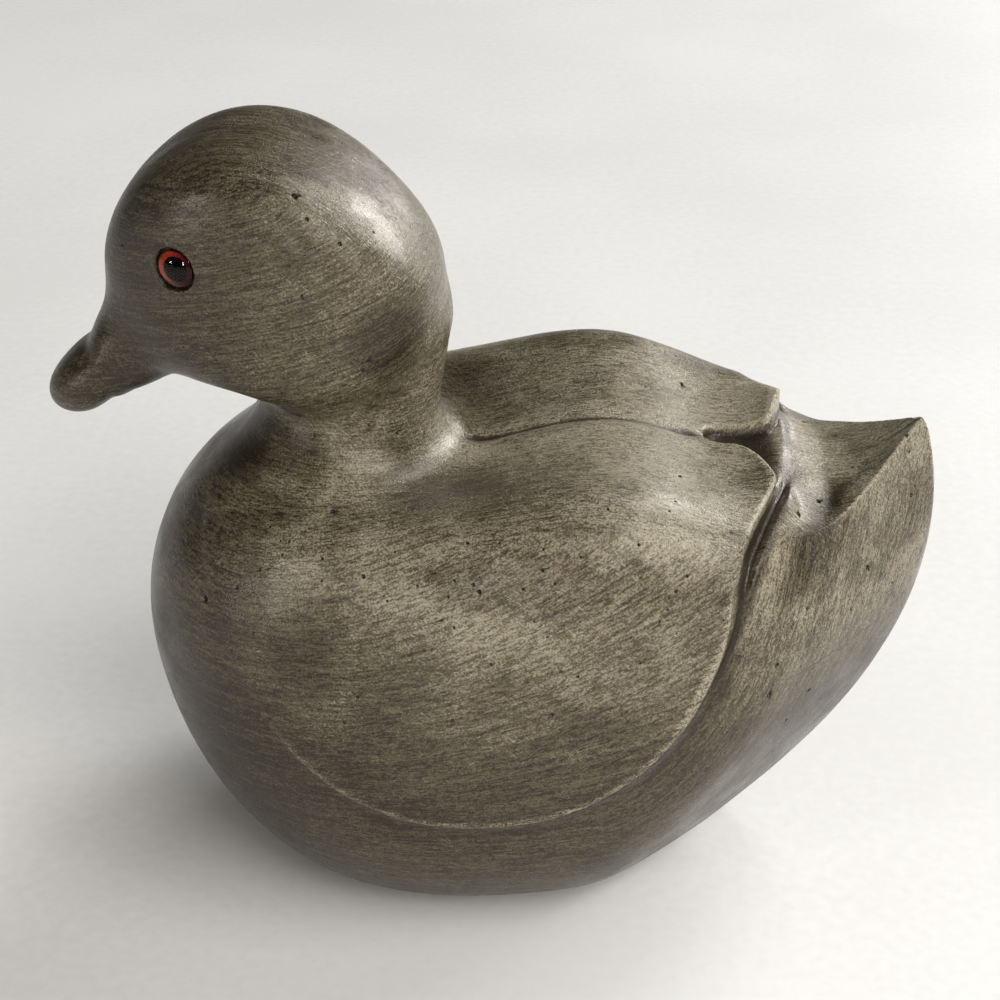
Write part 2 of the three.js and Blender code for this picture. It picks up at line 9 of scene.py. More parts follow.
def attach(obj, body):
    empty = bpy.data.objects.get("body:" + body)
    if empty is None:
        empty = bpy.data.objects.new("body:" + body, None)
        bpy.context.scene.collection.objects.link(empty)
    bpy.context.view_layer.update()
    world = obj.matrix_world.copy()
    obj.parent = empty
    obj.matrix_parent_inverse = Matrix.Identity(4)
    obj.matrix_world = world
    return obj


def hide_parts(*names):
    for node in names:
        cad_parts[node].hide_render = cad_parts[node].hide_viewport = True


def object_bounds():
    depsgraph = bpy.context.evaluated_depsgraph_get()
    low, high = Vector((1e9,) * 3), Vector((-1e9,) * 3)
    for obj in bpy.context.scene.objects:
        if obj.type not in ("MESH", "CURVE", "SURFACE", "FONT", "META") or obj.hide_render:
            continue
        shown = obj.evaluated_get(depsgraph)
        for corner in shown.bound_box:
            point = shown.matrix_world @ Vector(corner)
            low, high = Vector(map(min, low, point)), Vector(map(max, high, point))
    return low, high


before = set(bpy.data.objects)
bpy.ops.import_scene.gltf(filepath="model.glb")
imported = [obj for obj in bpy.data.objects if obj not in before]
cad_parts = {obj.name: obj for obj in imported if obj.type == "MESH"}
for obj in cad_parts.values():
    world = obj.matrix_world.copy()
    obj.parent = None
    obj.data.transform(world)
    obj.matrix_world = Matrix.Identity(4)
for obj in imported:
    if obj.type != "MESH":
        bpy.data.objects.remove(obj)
cad_box = [list(corner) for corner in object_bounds()]

# The duck's form, in millimetres, laid out from the bill as the solid is: x runs to the tail, z up.
MM = 0.001
MIDDLE_X = 2.16
BODY_CENTRE = (4, 42)
BODY_OUTLINE = (79.8, 91.3, 87.1, 74.4, 64.8, 58.9, 57.4, 66.9, 63.5, 59.9, 56.7, 49, 45.7, 46.6, 53, 65.6)
BODY_HALF_WIDTH = 44.4
BODY_ROUNDNESS = (2.48, 0)
BODY_SPAN = 60
BODY_WIDTH_CHANGE = {"x": -0.061, "z": -0.085, "xx": -0.127, "zz": 0.08, "xz": -0.028}
STERN = {"x": 79.7, "z": 66.5, "bow": 0.0082, "spread": 1.113, "fullness": 0.0019, "steepness": 0.62}
STERN_PINCH = {"reach": 3.4, "share": 0.75, "z": (56, 76)}
STERN_BLEND = 3.6
KEEL_ROUND = {"sharp": 1, "blunt": 5, "z": (52, 82)}
BACK_START = -76
BACK_STEP = 20
BACK_HEIGHTS = (90, 87.6, 83, 75.4, 78.8, 84.9, 74, 86.5, 165)
BACK_CROWN = {"flat": -0.003, "change": 0.0028, "from": 14, "span": 40, "shoulder": 13.6, "steepness": 0.95}
TAIL = {"low_x": 60.4, "low_z": 77.9, "upturn": 0.034}
TAIL_CROWN = {"fall": -0.0061, "flat_y": 30}
TAIL_SCOOP = {"slope": 0.02, "x": 63, "growth": 4, "last_x": 80, "crease": 0.6}
TAIL_LEAD = {"height": 1.7, "x": (50, 61), "steep_x": 32, "steepness": 1.2}
TAIL_BLEND = 0.7
WING_CENTRE = (4, 75)
WING_OUTLINE = (40.6, 50, 62, 62, 62, 62, 60, 52, 50, 49, 49.2, 47.5, 44.4, 44, 42.2, 39.6)
WING_THICKNESS = 3
WING_RISE = (-37.9, 45.7)
WING_FRONT = {"share": 0.42, "x": (-38, -18), "z": (34, 56)}
WING_FADE = {"thickness": 0.5, "sink": 0.2}
WING_EDGE_BLEND = {"near": 1.6, "far": 4.4, "y": (-6, 8)}
WING_TIP = {"reach": 5.3, "inner": 10, "near_outer": 40, "far_outer": 27, "x": (24, 39), "shift": 3}
WING_SKEW = {"slope": 0.08, "z": (60, 80)}
WING_FILLET = {"least": 0.05, "most": 2.6}
REAR_X = (32, 44)
LEDGE = {"width": 4.6, "share": 0.3, "slope": 0.1, "blend": 1.4, "edge": 2.8, "z": (60, 76), "y": (11, 23)}
SLOT_FLOOR = {"drop": 0.6, "slope": 0.14, "from_x": 43}
LEDGE_TOP = (79, 83.5)
GROOVE = {"at": 1.1, "depth": 0.9, "half_width": 0.9, "z": (40, 62), "y": (11, 19)}
VALLEY = {"at": 9.5, "depth": 0.9, "half_width": 3, "z": (60, 76), "y": (9, 21)}
SLOT = {"middle": 42.5, "half_length": 3.9, "half_width": 2.8, "shift": 1.6, "blend": 1.4}
SLOT_OPENING = {"near_x": 43.3, "near": 0.21, "far_x": 49.8, "far": 3, "most": 25}
BACK_GROOVE = {"depth": 0.6, "half_width": 1.7, "start": (-8, 0), "end": (34, 42), "z": (70, 76)}
HEAD_CENTRE = (-33, 112)
HEAD_OUTLINE = (27.5, 21.6, 20.2, 22.6, 26.7, 28.6, 31, 28.4, 19.6, 19.7, 23.8, 27.9)
HEAD_HALF_WIDTH = 20.6
HEAD_ROUNDNESS = (2.46, 1.98)
HEAD_SPAN = 30
HEAD_WIDTH_CHANGE = {"x": 0.255, "z": 0.07, "xx": 0.006, "zz": 0.074, "xz": 0.049}
BILL_CENTRE = (-64, 93)
BILL_OUTLINE = (9.8, 13.2, 12.6, 9.9, 5.7, 6.6, 8.6, 14.6, 9.4, 4.6, 5.4, 5.5)
BILL_HALF_WIDTH = 8.6
BILL_ROUNDNESS = (2.3, 0)
BILL_SPAN = 20
NO_CHANGE = {"x": 0, "z": 0, "xx": 0, "zz": 0, "xz": 0}
NARROWEST = 3
NECK = {"x": -22.8, "z": 87.2, "half_length": 15.3, "half_width": 16.1, "lean": 0.17, "reach": 20, "round": 6}
NECK_BLEND = 11.8
BILL_BLEND = 10.2
CHEEK_BLEND = 3
FOOT_BLEND = 3

# Glass eyes, let into pockets with a thin raised lip.
EYE = Vector((-48.2, 16.7, 117.8))
EYE_LOOK = Vector((-0.4, 0.916, -0.02)).normalized()
EYE_RADIUS = 3.45
EYE_DOME = 1.35
EYE_DEPTH = 1.7
EYE_SINK = 0.35
EYE_SIDES = 72
DOME = {"rows": 14, "back": 0.8, "side": 0.97, "side_depth": 0.5, "rim": 0.12}
IRIS_RADIUS = 3.2
IRIS = {"rows": 10, "middle": -0.62, "rise": 0.5, "rim": -0.3, "back": -0.9}
PUPIL_RADIUS = 1.95
PUPIL = {"top": -0.2, "shoulder": 0.6, "shoulder_z": -0.24, "rim": -0.38, "side": -0.55, "back": -0.6}
POCKET = {"radius": 3.62, "wall": 0.3, "depth": 2.05}
LIP = {"radius": 4.05, "half_width": 0.4, "height": 0.14}
SOCKET_FILL = {"radius": 4.6, "half_depth": 2, "sink": 0.9, "sides": 32}
EYE_CALM = {"depth": 6, "radius": 9, "share": 0.3}

# Waves of the hand-finished surface, and the form of a pinhole as shares of its half width.
WAVES = {"wide": 17, "wide_height": 0.16, "small": 6, "small_height": 0.05, "shift": Vector((9, 4, 1))}
PIT = {"floor": 0.4, "depth": 0.9}
FAR_PINHOLES = {"scale": (0.93, -0.96, 0.91), "shift": (3, 0, 5)}

# Fineness of the surface, and the steps by which points are brought onto it.
EVEN_EDGE = 1.15
BEND_LIMIT = math.radians(9)
SHORTEST_EDGE = 0.45
EYE_FINENESS = {"reach": 5.2, "longest": 0.42}
PINHOLE_FINENESS = {"reach": 0.75, "longest": 0.22}
ROUNDS = {"settle": 4, "even": 6, "bends": 2, "even_bends": 2, "near": 4, "pinholes": 8, "finish": 2}
SLOPE_STEP = 0.05
LEAST_SLOPE = 0.05
LONGEST_STEP = 0.8
SLIDE_SHARE = 0.6

# Runs of the brushing: rings on the body, level runs on the head, runs along the wing at the stern.
HEAD_JOIN = (-2.5, 2.5)
NECK_JOIN = (-9, 3)
BODY_RINGS = {"radius": 60, "centre_z": 16}
HEAD_RUNS = {"rise": 1.06, "slope": 0.36, "bend": 0.004}
STERN_RUNS = {"outside": 0.4, "from_x": 15, "steepest": 0.6, "shift": 60}
TOP_RUNS = {"up": (0.5, 0.85), "x": (-15, 5)}
REAR_RUNS = {"outside": (0, 2.5), "x": (12, 40)}

# Dark wash and painted shade: the share of each on each part, and the places and widths of their runs beside
# the carving.
HOLLOW_REACHES = (1.2, 3.2)
ANY_DIRECTION = np.array([0.31, 0.52, 0.8])
PATCH_FADE = (0.2, 1.5)
# Painted shade: darker low on the body and towards the breast, where less light falls.
LOW_AND_BREAST_SHADE = {"least": 0.04, "share": 0.52, "z": (66, 36), "x": (-16, -60), "most": 0.8}
# Painted shade towards the front, which faces away from the light.
SHADED_FRONT_X = (-20, -62)
# The head and neck are darker throughout; the front share adds painted shade.
HEAD_DARKENING = {"least": 0.3, "front": 0.45}
NECK_DARKENING = {"least": 0.2, "front": 0.6}
VALLEY_WASH = {"share": 0.75, "lead": 1}
# Painted shadow in the groove at the foot of the wing's rear edge.
GROOVE_SHADOW = {"share": 0.6, "lead": 0.3, "half_width": 1.2}
# Painted shade inside the slot between the wing tips.
SLOT_SHADE = {"inside": (-0.2, 0.5), "x": (53, 48), "from_x": 36, "from_z": 70}
EDGE_RUN = {"z": (66, 52), "x": (-46, -24)}
# Painted shadow below the wing's lower edge.
FOOT_SHADOW = {"share": 0.7, "at": 2.2, "half_width": 2.6}
# A lighter line on the wing's lower edge: partly rubbed wear, partly painted highlight.
EDGE_WEAR_AND_SHEEN = {"share": 0.22, "at": -0.6, "half_width": 1.3}

# Camera at the photograph's viewing angle.
CAMERA_PLACE = Vector((16.94, -309.06, 245.88)) * MM
CAMERA_PITCH = 30
CAMERA_YAW = 2.95
LENS = 72
SENSOR = 36
NEAREST = 0.01

# Room, in metres: a pale floor, a dim warm surround, and panels of light.
FLOOR_HALF = 4.0
SURROUND = {"colour": (1.0, 0.93, 0.82, 1), "strength": 0.1}
LIT_PLACE = Vector((0, 0, 0.07))
# Each panel: name, azimuth and elevation in degrees, distance, size, power and colour.
LIGHTS = (
    ("window", 46, 21, 2.2, (1.8, 0.7), 43, (1.0, 0.995, 0.985)),
    ("high_window", 47, 50, 2.0, (0.6, 0.4), 8, (0.99, 0.995, 1.0)),
    ("second_window", -18, 48, 1.4, (0.45, 0.45), 4.5, (0.97, 0.99, 1.0)),
    ("room_side", -48, 38, 1.6, (1.2, 1.0), 20, (1.0, 0.965, 0.92)),
    ("left_glint", 213, 9, 1.2, (0.15, 0.15), 2.4, (1.0, 0.97, 0.92)),
    ("front_glint", 260, 11, 1.3, (0.12, 0.28), 2.9, (1.0, 0.98, 0.95)),
)


def smooth_step(a, b, x):
    t = np.clip((x - a) / (b - a), 0, 1)
    return t * t * (3 - 2 * t)


def join(a, b, size):
    h = np.clip(0.5 + 0.5 * (b - a) / size, 0, 1)
    return b * (1 - h) + a * h - size * h * (1 - h)


def meet(a, b, size):
    return -join(-a, -b, size)


def blend_four(a, b, c, d, u):
    v = 1 - u
    second = (3 * u**3 - 6 * u**2 + 4) * b
    third = (-3 * u**3 + 3 * u**2 + 3 * u + 1) * c
    return (v**3 * a + second + third + u**3 * d) / 6


def around(sizes, turn):
    """A smooth closed curve that follows sizes spread evenly over a full turn."""
    sizes = np.asarray(sizes, float)
    n = len(sizes)
    at = np.mod(turn, 1) * n
    i = np.floor(at).astype(int)
    return blend_four(sizes[(i - 1) % n], sizes[i % n], sizes[(i + 1) % n], sizes[(i + 2) % n], at - i)


def along(sizes, at):
    """A smooth open curve that follows sizes at 0, 1, 2 and so on."""
    sizes = np.asarray(sizes, float)
    n = len(sizes)
    t = np.clip(at, 1, n - 2.001)
    i = np.floor(t).astype(int)
    return blend_four(sizes[i - 1], sizes[i], sizes[i + 1], sizes[np.minimum(i + 2, n - 1)], t - i)


def round_form(x, y, z, centre, outline, half_width, roundness, span, change):
    """How far places lie outside a form with a side outline, and a width that changes along it."""
    dx = x - centre[0]
    dz = z - centre[1]
    r = np.hypot(dx, dz) + 1e-9
    share = r / around(outline, np.arctan2(dz, dx) / (2 * math.pi))
    a = dx / span
    b = dz / span
    grow = 1 + change["x"] * a + change["z"] * b + change["xx"] * a * a + change["zz"] * b * b
    width = np.maximum(half_width * (grow + change["xz"] * a * b), NARROWEST)
    power = roundness[0] + roundness[1] * (dz / r) ** 2
    q = (share**power + (np.abs(y) / width) ** power) ** (1 / power)
    return np.hypot(r, y) * (1 - 1 / np.maximum(q, 1e-6))


def plain_body(x, y, z):
    form = round_form(
        x, y, z, BODY_CENTRE, BODY_OUTLINE, BODY_HALF_WIDTH, BODY_ROUNDNESS, BODY_SPAN, BODY_WIDTH_CHANGE
    )
    ahead = STERN["x"] - STERN["bow"] * (STERN["z"] - z) ** 2 - x
    lower = 1 - smooth_step(*KEEL_ROUND["z"], z)
    edge = KEEL_ROUND["sharp"] + (KEEL_ROUND["blunt"] - KEEL_ROUND["sharp"]) * lower
    out = np.hypot(y, edge) - edge
    within = np.maximum(ahead, 0)
    pinch = within + STERN_PINCH["reach"] - np.hypot(within, STERN_PINCH["reach"])
    pinch = pinch * STERN_PINCH["share"] * smooth_step(*STERN_PINCH["z"], z)
    flank = out - STERN["spread"] * (ahead - pinch) + STERN["fullness"] * within**2
    sides = meet(form, flank * STERN["steepness"], STERN_BLEND)
    crown = BACK_CROWN["flat"] + BACK_CROWN["change"] * (x - BACK_CROWN["from"]) / BACK_CROWN["span"]
    back = along(BACK_HEIGHTS, (x - BACK_START) / BACK_STEP) - crown * y * y
    return meet(sides, (z - back) * BACK_CROWN["steepness"], BACK_CROWN["shoulder"])


def tail_height(x, y):
    behind = np.maximum(x - TAIL["low_x"], 0)
    lead = TAIL_LEAD["height"] * (1 - smooth_step(*TAIL_LEAD["x"], x))
    steep = TAIL_LEAD["steepness"] * np.maximum(TAIL_LEAD["steep_x"] - x, 0)
    crown = TAIL_CROWN["fall"] * np.minimum(y * y, TAIL_CROWN["flat_y"] ** 2)
    back = np.minimum(x, TAIL_SCOOP["last_x"]) - TAIL_SCOOP["x"]
    slope = TAIL_SCOOP["slope"] * np.exp(back / TAIL_SCOOP["growth"])
    scoop = slope * (np.hypot(y, TAIL_SCOOP["crease"]) - TAIL_SCOOP["crease"])
    return TAIL["low_z"] + TAIL["upturn"] * behind**2 + lead + steep + crown + scoop


def outside_wing(x, z):
    dx = x - WING_CENTRE[0]
    dz = z - WING_CENTRE[1]
    return np.hypot(dx, dz) - around(WING_OUTLINE, np.arctan2(dz, dx) / (2 * math.pi))


def tip_reach(x, y):
    """How much further the wing reaches to the rear than its outline, near its tip."""
    outer = np.where(y < 0, WING_TIP["near_outer"], WING_TIP["far_outer"])
    near = 1 - smooth_step(WING_TIP["inner"], outer, np.abs(y - WING_TIP["shift"]))
    return WING_TIP["reach"] * near * smooth_step(*WING_TIP["x"], x)


def inside_slot(x, y):
    """How far a place lies inside the slot between the wing tips, which opens to the rear."""
    ahead = np.maximum(SLOT["middle"] - x, 0) / SLOT["half_length"]
    width = SLOT["half_width"] * (np.sqrt(np.maximum(1 - ahead**2, 0)) - np.maximum(ahead - 1, 0))
    near = SLOT_OPENING["near"] * np.maximum(x - SLOT_OPENING["near_x"], 0) ** 2
    far = SLOT_OPENING["far"] * np.maximum(x - SLOT_OPENING["far_x"], 0) ** 2
    opening = np.minimum(np.where(y < SLOT["shift"], near, far), SLOT_OPENING["most"])
    return width + opening - np.abs(y - SLOT["shift"])


def bell(x, middle, size):
    return np.exp(-(((x - middle) / size) ** 2))


def rear_share(part, x, y, z):
    across = np.abs(y - WING_TIP["shift"])
    return smooth_step(*REAR_X, x) * smooth_step(*part["z"], z) * smooth_step(*part["y"], across)


def wing_thickness(x, z):
    rise = smooth_step(*WING_RISE, x)
    low = 1 - smooth_step(*WING_FRONT["z"], z)
    front = WING_FRONT["share"] * low * smooth_step(*WING_FRONT["x"], x)
    return WING_THICKNESS * (rise + (1 - rise) * front)


def winged_body(x, y, z):
    plain = plain_body(x, y, z)
    skewed = x - WING_SKEW["slope"] * y * smooth_step(*WING_SKEW["z"], z)
    outline = outside_wing(skewed, z)
    outside = outline - tip_reach(skewed, y)
    thickness = wing_thickness(x, z)
    slot = inside_slot(skewed, y)
    far_share = smooth_step(*WING_EDGE_BLEND["y"], y)
    edge_blend = WING_EDGE_BLEND["near"] + (WING_EDGE_BLEND["far"] - WING_EDGE_BLEND["near"]) * far_share
    sunk = WING_FADE["sink"] * (1 - smooth_step(0, WING_FADE["thickness"], thickness))
    wing = meet(meet(plain - thickness + sunk, outside, edge_blend), slot, SLOT["blend"])
    ledge_reach = LEDGE["width"] * rear_share(LEDGE, x, y, z) * (1 - smooth_step(*LEDGE_TOP, z))
    floor = SLOT_FLOOR["drop"] + SLOT_FLOOR["slope"] * np.maximum(skewed - SLOT_FLOOR["from_x"], 0)
    floor = floor * (1 - smooth_step(*LEDGE["y"], np.abs(y - WING_TIP["shift"])))
    ledge_top = plain - thickness * LEDGE["share"] + LEDGE["slope"] * np.maximum(outside, 0) + floor
    ledge = meet(ledge_top, outside - ledge_reach, LEDGE["edge"])
    body = meet(plain, z - tail_height(x, y), TAIL_BLEND)
    valley = VALLEY["depth"] * bell(outside, VALLEY["at"], VALLEY["half_width"])
    body = body + rear_share(VALLEY, x, y, z) * valley
    fillet = np.clip(thickness, WING_FILLET["least"], WING_FILLET["most"])
    body = join(body, join(wing, ledge, LEDGE["blend"]), fillet)
    groove = GROOVE["depth"] * bell(outside, GROOVE["at"], GROOVE["half_width"])
    body = body + rear_share(GROOVE, x, y, z) * groove
    fade_in = smooth_step(*BACK_GROOVE["start"], x)
    fade_out = 1 - smooth_step(*BACK_GROOVE["end"], x)
    middle = fade_in * fade_out * smooth_step(*BACK_GROOVE["z"], z)
    return body + middle * BACK_GROOVE["depth"] * bell(y, 0, BACK_GROOVE["half_width"])


def neck_form(x, y, z):
    middle = NECK["x"] + NECK["lean"] * (z - NECK["z"])
    across = np.hypot((x - middle) / NECK["half_length"], y / NECK["half_width"]) - 1
    return meet(across * NECK["half_length"], np.abs(z - NECK["z"]) - NECK["reach"], NECK["round"])


def head_and_bill(x, y, z):
    head = round_form(
        x, y, z, HEAD_CENTRE, HEAD_OUTLINE, HEAD_HALF_WIDTH, HEAD_ROUNDNESS, HEAD_SPAN, HEAD_WIDTH_CHANGE
    )
    bill = round_form(
        x, y, z, BILL_CENTRE, BILL_OUTLINE, BILL_HALF_WIDTH, BILL_ROUNDNESS, BILL_SPAN, NO_CHANGE
    )
    return join(head, bill, BILL_BLEND)


def duck(p):
    """How far points lie outside the duck's surface, less than zero inside it."""
    x, y, z = p.T
    lower = join(winged_body(x, y, z), neck_form(x, y, z), NECK_BLEND)
    return meet(join(lower, head_and_bill(x, y, z), CHEEK_BLEND), -z, FOOT_BLEND)


def outward(p):
    """The slope of the form at each point, which looks out of the surface."""
    steps = np.eye(3) * SLOPE_STEP
    return np.stack([duck(p + s) - duck(p - s) for s in steps], axis=1) / (2 * SLOPE_STEP)


def unit(v):
    return v / np.maximum(np.linalg.norm(v, axis=1, keepdims=True), 1e-9)


def settle(p, rounds):
    """Brings points onto the surface by short steps along its slope."""
    for _ in range(rounds):
        g = outward(p)
        slope = np.maximum((g * g).sum(1), LEAST_SLOPE)
        step = (duck(p) / slope)[:, None] * g
        size = np.maximum(np.linalg.norm(step, axis=1, keepdims=True), 1e-9)
        p = p - step * np.minimum(1, LONGEST_STEP / size)
    return p


def mesh_points(mesh):
    co = np.empty(len(mesh.vertices) * 3, np.float32)
    mesh.vertices.foreach_get("co", co)
    p = co.reshape(-1, 3).astype(float) / MM
    p[:, 0] += MIDDLE_X
    return p


def set_mesh_points(mesh, p):
    co = p.copy()
    co[:, 0] -= MIDDLE_X
    mesh.vertices.foreach_set("co", (co * MM).astype(np.float32).ravel())
    mesh.update()


def mesh_edges(mesh):
    pairs = np.empty(len(mesh.edges) * 2, np.int32)
    mesh.edges.foreach_get("vertices", pairs)
    return pairs.reshape(-1, 2)


def even_out(mesh, rounds):
    """Slides the points along the surface towards the middle of their neighbours."""
    p = mesh_points(mesh)
    a, b = mesh_edges(mesh).T
    count = np.maximum(np.bincount(a, minlength=len(p)) + np.bincount(b, minlength=len(p)), 1)
    for _ in range(rounds):
        middle = np.empty_like(p)
        for axis in range(3):
            total = np.bincount(a, p[b, axis], len(p)) + np.bincount(b, p[a, axis], len(p))
            middle[:, axis] = total / count
        n = unit(outward(p))
        move = middle - p
        move -= n * (move * n).sum(1, keepdims=True)
        p = settle(p + SLIDE_SHARE * move, 1)
    set_mesh_points(mesh, settle(p, ROUNDS["finish"]))


def split_edges(mesh, chosen):
    """Splits the chosen edges in the middle and keeps the mesh all triangles."""
    bm = bmesh.new()
    bm.from_mesh(mesh)
    bm.edges.ensure_lookup_table()
    edges = [bm.edges[i] for i in np.nonzero(chosen)[0]]
    if edges:
        bmesh.ops.subdivide_edges(bm, edges=edges, cuts=1)
        bmesh.ops.triangulate(bm, faces=[f for f in bm.faces if len(f.verts) > 3])
    bm.to_mesh(mesh)
    bm.free()


def refine_bends(mesh):
    """Splits the edges over which the surface turns by more than the limit."""
    p = mesh_points(mesh)
    a, b = mesh_edges(mesh).T
    n = unit(outward(p))
    length = np.linalg.norm(p[a] - p[b], axis=1)
    bend = np.arccos(np.clip((n[a] * n[b]).sum(1), -1, 1))
    split_edges(mesh, (bend > BEND_LIMIT) & (length > SHORTEST_EDGE))


def refine_near(mesh, places, reach, longest):
    """Splits edges near the given places until none there is longer than wanted."""
    for _ in range(ROUNDS["near"]):
        p = mesh_points(mesh)
        a, b = mesh_edges(mesh).T
        length = np.linalg.norm(p[a] - p[b], axis=1)
        middle = (p[a] + p[b]) / 2
        near = np.zeros(len(a), bool)
        for place in places:
            near |= np.linalg.norm(middle - place, axis=1) < reach
        chosen = near & (length > longest)
        if not chosen.any():
            break
        split_edges(mesh, chosen)
        set_mesh_points(mesh, settle(mesh_points(mesh), ROUNDS["finish"]))


def mirrored(v, side):
    return Vector((v.x, v.y * side, v.z))


def to_frame(v):
    return Vector((v.x - MIDDLE_X, v.y, v.z)) * MM


def eye_matrix(side):
    """Stands a piece, made with +Z out of the head, at the eye on that side (1 or -1)."""
    look = mirrored(EYE_LOOK, side)
    turn = Vector((0, 0, 1)).rotation_difference(look).to_matrix().to_4x4()
    seat = to_frame(mirrored(EYE, side) - look * EYE_SINK)
    return Matrix.Translation(seat) @ turn


def new_object(name, mesh, material=None):
    obj = bpy.data.objects.new(name, mesh)
    bpy.context.scene.collection.objects.link(obj)
    if material:
        mesh.materials.append(material)
    return obj


def even_skin():
    """An even mesh over the whole duck with its eye sockets filled, as the start of the fine surface."""
    bm = bmesh.new()
    bm.from_mesh(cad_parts["duck_body"].data)
    sides = SOCKET_FILL["sides"]
    radius = SOCKET_FILL["radius"] * MM
    fill = Matrix.Diagonal((radius, radius, SOCKET_FILL["half_depth"] * MM, 1))
    sink = Matrix.Translation((0, 0, -SOCKET_FILL["sink"] * MM))
    for side in (1, -1):
        place = eye_matrix(side) @ sink @ fill
        bmesh.ops.create_uvsphere(bm, u_segments=sides, v_segments=sides // 2, radius=1, matrix=place)
    mesh = bpy.data.meshes.new("rough_duck")
    bm.to_mesh(mesh)
    bm.free()
    rough = new_object("rough_duck", mesh)
    remesh = rough.modifiers.new("even", "REMESH")
    remesh.mode = "VOXEL"
    remesh.voxel_size = EVEN_EDGE * MM
    remesh.adaptivity = 0
    depsgraph = bpy.context.evaluated_depsgraph_get()
    even = bpy.data.meshes.new_from_object(rough.evaluated_get(depsgraph))
    bpy.data.objects.remove(rough)
    bm = bmesh.new()
    bm.from_mesh(even)
    bmesh.ops.triangulate(bm, faces=bm.faces)
    bm.to_mesh(even)
    bm.free()
    even.materials.clear()
    even.name = "cast_duck"
    return even


# Open pinholes on the near side: x, y, z and half width in millimetres. The far side has them shifted.
PINHOLES = (
    (34, -18, 83, 0.42), (33, -28, 84, 0.25), (32, -31, 84, 0.28), (5, -37.5, 81, 0.27),
    (12, -39, 81, 0.26), (12, -40.5, 78, 0.36), (1, -41, 75.2, 0.34), (2, -41.5, 74.2, 0.44),
    (-3, -41.5, 73, 0.28), (-2, -40.5, 75.5, 0.26), (-4, -42, 69, 0.28), (-2, -42.5, 68, 0.26),
    (9, -41.5, 75, 0.3), (14, -41.5, 76, 0.24), (18, -39.5, 80, 0.25), (27, -37, 81, 0.28),
    (35, -38, 76, 0.3), (32, -40, 71, 0.25), (4, -44, 62, 0.3), (18, -44, 60, 0.34),
    (28, -42.5, 62, 0.25), (41, -38, 68, 0.25), (14, -45, 53, 0.32), (13, -43, 67, 0.24),
    (27, -13, 85, 0.26), (-27, -16, 88, 0.28), (-26, -19, 84, 0.26), (-23, -27, 80, 0.55),
    (-30, -30.5, 76, 0.3), (-31, -31.5, 74, 0.27), (-24, -34, 75, 0.33), (-35, -31.5, 71, 0.32),
    (-24, -36, 72, 0.26), (-17, -37.5, 74, 0.42), (-8, -40, 74, 0.28), (-39, -31, 67, 0.3),
    (-45, -28.5, 63, 0.6), (-36, -35.5, 61, 0.28), (-18, -43, 54, 0.34), (-13, -40, 71, 0.25),
    (-12, -36, 78, 0.26), (-36, -21.5, 79, 0.26), (-28, -17.5, 131, 0.62), (-26, -19.5, 128, 0.38),
    (-21, -19.5, 124, 0.42), (-16, -14, 124, 0.26), (-27, -21.5, 116, 0.28), (-17, -20.5, 104, 0.32),
    (58, -14, 77, 0.46), (54, -19, 77, 0.5), (75, -4.7, 73, 0.5), (75, -6.2, 68, 0.34),
    (67, -16, 65, 0.56), (56, -28, 64, 0.34), (54, -28, 67, 0.26), (51, -33, 56, 0.48),
    (50, -33, 50, 0.62), (72, -11, 59, 0.26), (74, -3.8, 81, 0.3), (64, -20, 59, 0.26),
    (60, -26, 44, 0.44), (57, -28, 38, 0.4), (-56, -9, 119, 0.26), (-50, -15, 112, 0.24),
    (-20, -40, 34, 0.3),
)

# Darker patches, partly wash and partly painted shadow below the neck and head: place and reach in
# millimetres, and how dark each is, on both sides.
STAIN_AND_SHADOW_PATCHES = (
    (-38, -7, 81, 12, 1.0), (-30, -14, 84, 8, 0.6), (-40, -31, 60, 11, 0.65), (-28, -37, 58, 12, 0.6),
    (-12, -43, 55, 13, 0.45), (6, -45, 52, 13, 0.3), (25, -43, 60, 11, 0.22), (-14, -18, 107, 9, 0.75),
    (-62, -8, 92, 9, 0.7), (-52, -9, 126, 12, 0.55), (-50, -14, 103, 9, 0.5), (38, -36, 66, 8, 0.3),
    (-6, -20, 86, 12, 0.65), (8, -26, 84, 14, 0.25), (-20, -24, 84, 9, 0.1),
)


def unevenness(p):
    """The slight waves of a hand-finished form at each point."""
    lift = np.zeros(len(p))
    for i, place in enumerate(p):
        wide = noise.noise(Vector(place) / WAVES["wide"])
        small = noise.noise(Vector(place) / WAVES["small"] + WAVES["shift"])
        lift[i] = WAVES["wide_height"] * wide + WAVES["small_height"] * small
    return lift


